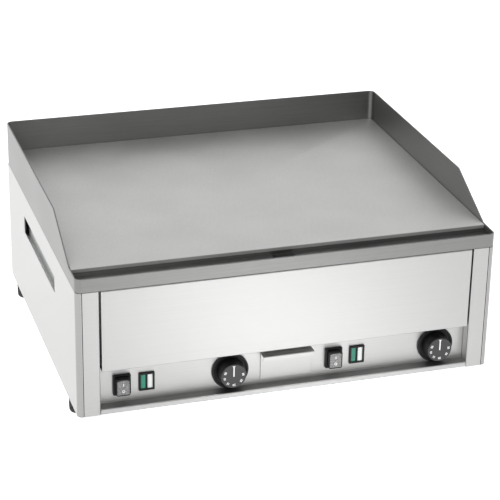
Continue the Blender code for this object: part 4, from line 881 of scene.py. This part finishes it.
def buildScrew(node):
    # domed head, its profile r cos a out and r sin a up, with a cross recess
    low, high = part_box(node)
    x, z, r = (low.x + high.x) / 2, (low.z + high.z) / 2, (high.x - low.x) / 2
    a = np.radians(np.linspace(0, screw["domeAngle"], 7))
    base = rearSeat + screw["skirt"]
    dome = np.stack([r * np.cos(a), base + (high.y - base) * np.sin(a)], 1)
    profile = np.vstack([[(0, low.y), (screw["shank"], low.y), (screw["shank"], rearSeat),
                          (r, rearSeat)], dome, [(0, high.y)]])
    head = turned("screw", profile, "Y", (x, 0, z), zincSteel, 40)
    deep = high.y - screw["crossDepth"]
    cutters = [box("cross", (x - halfX, deep, z - halfZ), (x + halfX, high.y + through, z + halfZ),
                   zincSteel, 0) for halfX, halfZ in (screw["cross"], screw["cross"][::-1])]
    place(carved(head, cutters), "rearScrew" + node[11:].title().replace("_", ""), "casing",
          [node], "fastener")


gland = dict(bore=0.005, mouth=0.0078, nut=0.0108, noseWidth=0.0104, noseLength=0.0030,
             noseRound=0.0008, nutRound=0.002, flange=0.0049, flangeRound=0.0005, undercut=0.0001,
             thread=0.008, ribs=18, ribDepth=0.00025, ribEnd=0.0012)


def buildGland():
    # flange, then a dome nut whose ribs follow r = R + d cos(n a), bored for the lead
    low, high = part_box("cable_gland")
    x, z, r = (low.x + high.x) / 2, (low.z + high.z) / 2, (high.x - low.x) / 2
    bore, nut, flange = gland["bore"], gland["nut"], rearSeat + gland["flange"]
    edge = sheetEdge
    profile = roundedPath([(bore, high.y), (gland["mouth"], high.y),
                           (gland["noseWidth"], high.y - gland["noseLength"]),
                           (nut, flange + gland["undercut"]), (nut, flange), (r, flange),
                           (r, rearSeat), (gland["thread"], rearSeat), (gland["thread"], low.y),
                           (bore, low.y)],
                          [edge, gland["noseRound"], gland["nutRound"], 0, 0,
                           gland["flangeRound"], edge, edge, edge, edge], closed=True, steps=4)
    along, radius = profile[:, 1], profile[:, 0]
    angle = np.linspace(0, 2 * np.pi, 144, endpoint=False)
    ribbed = ((along > flange + gap) & (along < high.y - gland["ribEnd"])
              & (radius > (gland["mouth"] + bore) / 2))
    radius = (radius[:, None] + np.where(ribbed, gland["ribDepth"], 0)[:, None]
              * np.cos(gland["ribs"] * angle))
    flat = radius[..., None] * np.stack([np.cos(angle), np.sin(angle)], -1)[None]
    grid = lift("Y", flat, along[:, None]) + np.array((x, 0, z))
    faces = gridFaces(*grid.shape[:2], closeRows=True, closeColumns=True)
    place(meshOf("gland", grid, faces.tolist(), blackPlastic), "cableGland", "casing",
          ["cable_gland"], "black_trim")


for node in cadNodes:
    if node.startswith("foot_"):
        buildFoot(node)
    if node.startswith("rear_screw"):
        buildScrew(node)
buildGland()
print("feet, screws and gland made")


# nodes kept as they are, {s} standing for left and right
nodeMaterials = {
    whiteEnamel: ["{s}_heat_shield"],
    platedSteel: ["base_pan", "drain_chute", "insulation_tray", "grease_tray", "{s}_drawer_runner",
                  "{s}_element_clamp_front", "{s}_element_clamp_rear"],
    blackPlastic: ["{s}_switch_rocker"],
    elementSheath: ["{s}_heating_element"],
    ceramicFibre: ["insulation_blanket"],
    copper: ["{s}_capillary"],
    ceramic: ["terminal_block", "{s}_thermostat"],
    brass: ["earth_stud"],
    loomSleeve: ["{s}_wiring_loom"],
    zincSteel: ["{s}_thermostat_shaft", "{s}_limit_thermostat"],
}
for material, names in nodeMaterials.items():
    for name in sorted({name.format(s=side) for name in names for side in sides}):
        cadNodes[name].data.materials.clear()
        cadNodes[name].data.materials.append(material)
print("carried-over nodes dressed")


studio = dict(floor=40.0, floorDrop=0.0002, floorColour="#e8e8e8", floorGlow=0.75, sun=1.2,
              sunAngle=60, sunFrom=(-0.55, -0.60, 0.62), front="#959595", back="#ffffff",
              top="#c8c8c8", fadeY=(-0.55, 0.35), fadeZ=(0.55, 0.95), worldStrength=1.0,
              pool=170.0, poolAt=(0.06, -0.62), poolHeight=1.6, poolSize=26, poolBlend=1.0,
              poolSource=0.15)
floorMesh = bpy.data.meshes.new("floor")
f = studio["floor"]
floorMesh.from_pydata([(-f, -f, 0), (f, -f, 0), (f, f, 0), (-f, f, 0)], [], [(0, 1, 2, 3)])
# opal acrylic light table: it glows a little, so shadows on it stay faint
floorMesh.materials.append(newMaterial(
    "opalAcrylicTable", Roughness=0.9, Specular_IOR_Level=0.1,
    Base_Color=srgb(studio["floorColour"]), Emission_Color=srgb("#ffffff"),
    Emission_Strength=studio["floorGlow"])[0])
floor = bpy.data.objects.new("floor", floorMesh)
floor.location.z = -studio["floorDrop"]
bpy.context.scene.collection.objects.link(floor)

# soft box all round: bright behind and above the griddle, dim where the operator stands
world = bpy.data.worlds.new("studio")
world.use_nodes = True
bpy.context.scene.world = world
sky = world.node_tree
background = sky.nodes["Background"]
direction = addNode(sky, "ShaderNodeTexCoord")
parts = addNode(sky, "ShaderNodeSeparateXYZ", links={0: direction.outputs["Generated"]})
blendY = addNode(sky, "ShaderNodeMapRange",
                 {"From Min": studio["fadeY"][0], "From Max": studio["fadeY"][1],
                  "interpolation_type": "SMOOTHSTEP"},
                 {"Value": parts.outputs["Y"]})
shade = addNode(sky, "ShaderNodeMix",
                {"data_type": "RGBA", 6: srgb(studio["front"]), 7: srgb(studio["back"])},
                {0: blendY.outputs["Result"]})
blendZ = addNode(sky, "ShaderNodeMapRange",
                 {"From Min": studio["fadeZ"][0], "From Max": studio["fadeZ"][1],
                  "interpolation_type": "SMOOTHSTEP"},
                 {"Value": parts.outputs["Z"]})
domed = addNode(sky, "ShaderNodeMix", {"data_type": "RGBA", 7: srgb(studio["top"])},
                {0: blendZ.outputs["Result"], 6: shade.outputs[2]})
sky.links.new(domed.outputs[2], background.inputs["Color"])
background.inputs["Strength"].default_value = studio["worldStrength"]


def addLight(name, kind, energy, position, aim, **settings):
    # a light at a position, turned so that it shines at its aim
    light = bpy.data.lights.new(name, kind)
    light.energy = energy
    for key, value in settings.items():
        setattr(light, key, value)
    lamp = bpy.data.objects.new(name, light)
    beam = Vector(aim) - Vector(position)
    lamp.matrix_world = (Matrix.Translation(position)
                         @ beam.to_track_quat("-Z", "Y").to_matrix().to_4x4())
    bpy.context.scene.collection.objects.link(lamp)


addLight("softbox", "SUN", studio["sun"], studio["sunFrom"], (0, 0, 0),
         angle=math.radians(studio["sunAngle"]))
poolX, poolY = studio["poolAt"]
addLight("tableSpot", "SPOT", studio["pool"], (poolX, poolY, studio["poolHeight"]),
         (poolX, poolY, 0), spot_size=math.radians(studio["poolSize"]),
         spot_blend=studio["poolBlend"], shadow_soft_size=studio["poolSource"])

view = dict(azimuth=-17.70, elevation=24.06, roll=1.15, distance=2.99551, lens=131.66,
            aim=(0.0, -0.006, 0.155), shiftRight=0.01846, shiftUp=-0.0087)
a, e, roll = (math.radians(view[k]) for k in ("azimuth", "elevation", "roll"))
backward = Vector((math.sin(a) * math.cos(e), -math.cos(a) * math.cos(e), math.sin(e)))
right = (-backward).cross(Vector((0, 0, 1))).normalized()
up = right.cross(-backward)
target = Vector(view["aim"]) + right * view["shiftRight"] + up * view["shiftUp"]
cameraData = bpy.data.cameras.new("camera")
cameraData.lens, cameraData.sensor_width = view["lens"], 36
camera = bpy.data.objects.new("camera", cameraData)
# the camera's own axes, turned about its line of sight by the roll
turnedRight = right * math.cos(roll) + up * math.sin(roll)
turnedUp = up * math.cos(roll) - right * math.sin(roll)
axes = Matrix((turnedRight, turnedUp, backward)).transposed().to_4x4()
camera.matrix_world = Matrix.Translation(target + backward * view["distance"]) @ axes
bpy.context.scene.collection.objects.link(camera)
bpy.context.scene.camera = camera
bpy.context.scene.view_settings.view_transform = "Standard"
print("studio and camera set")
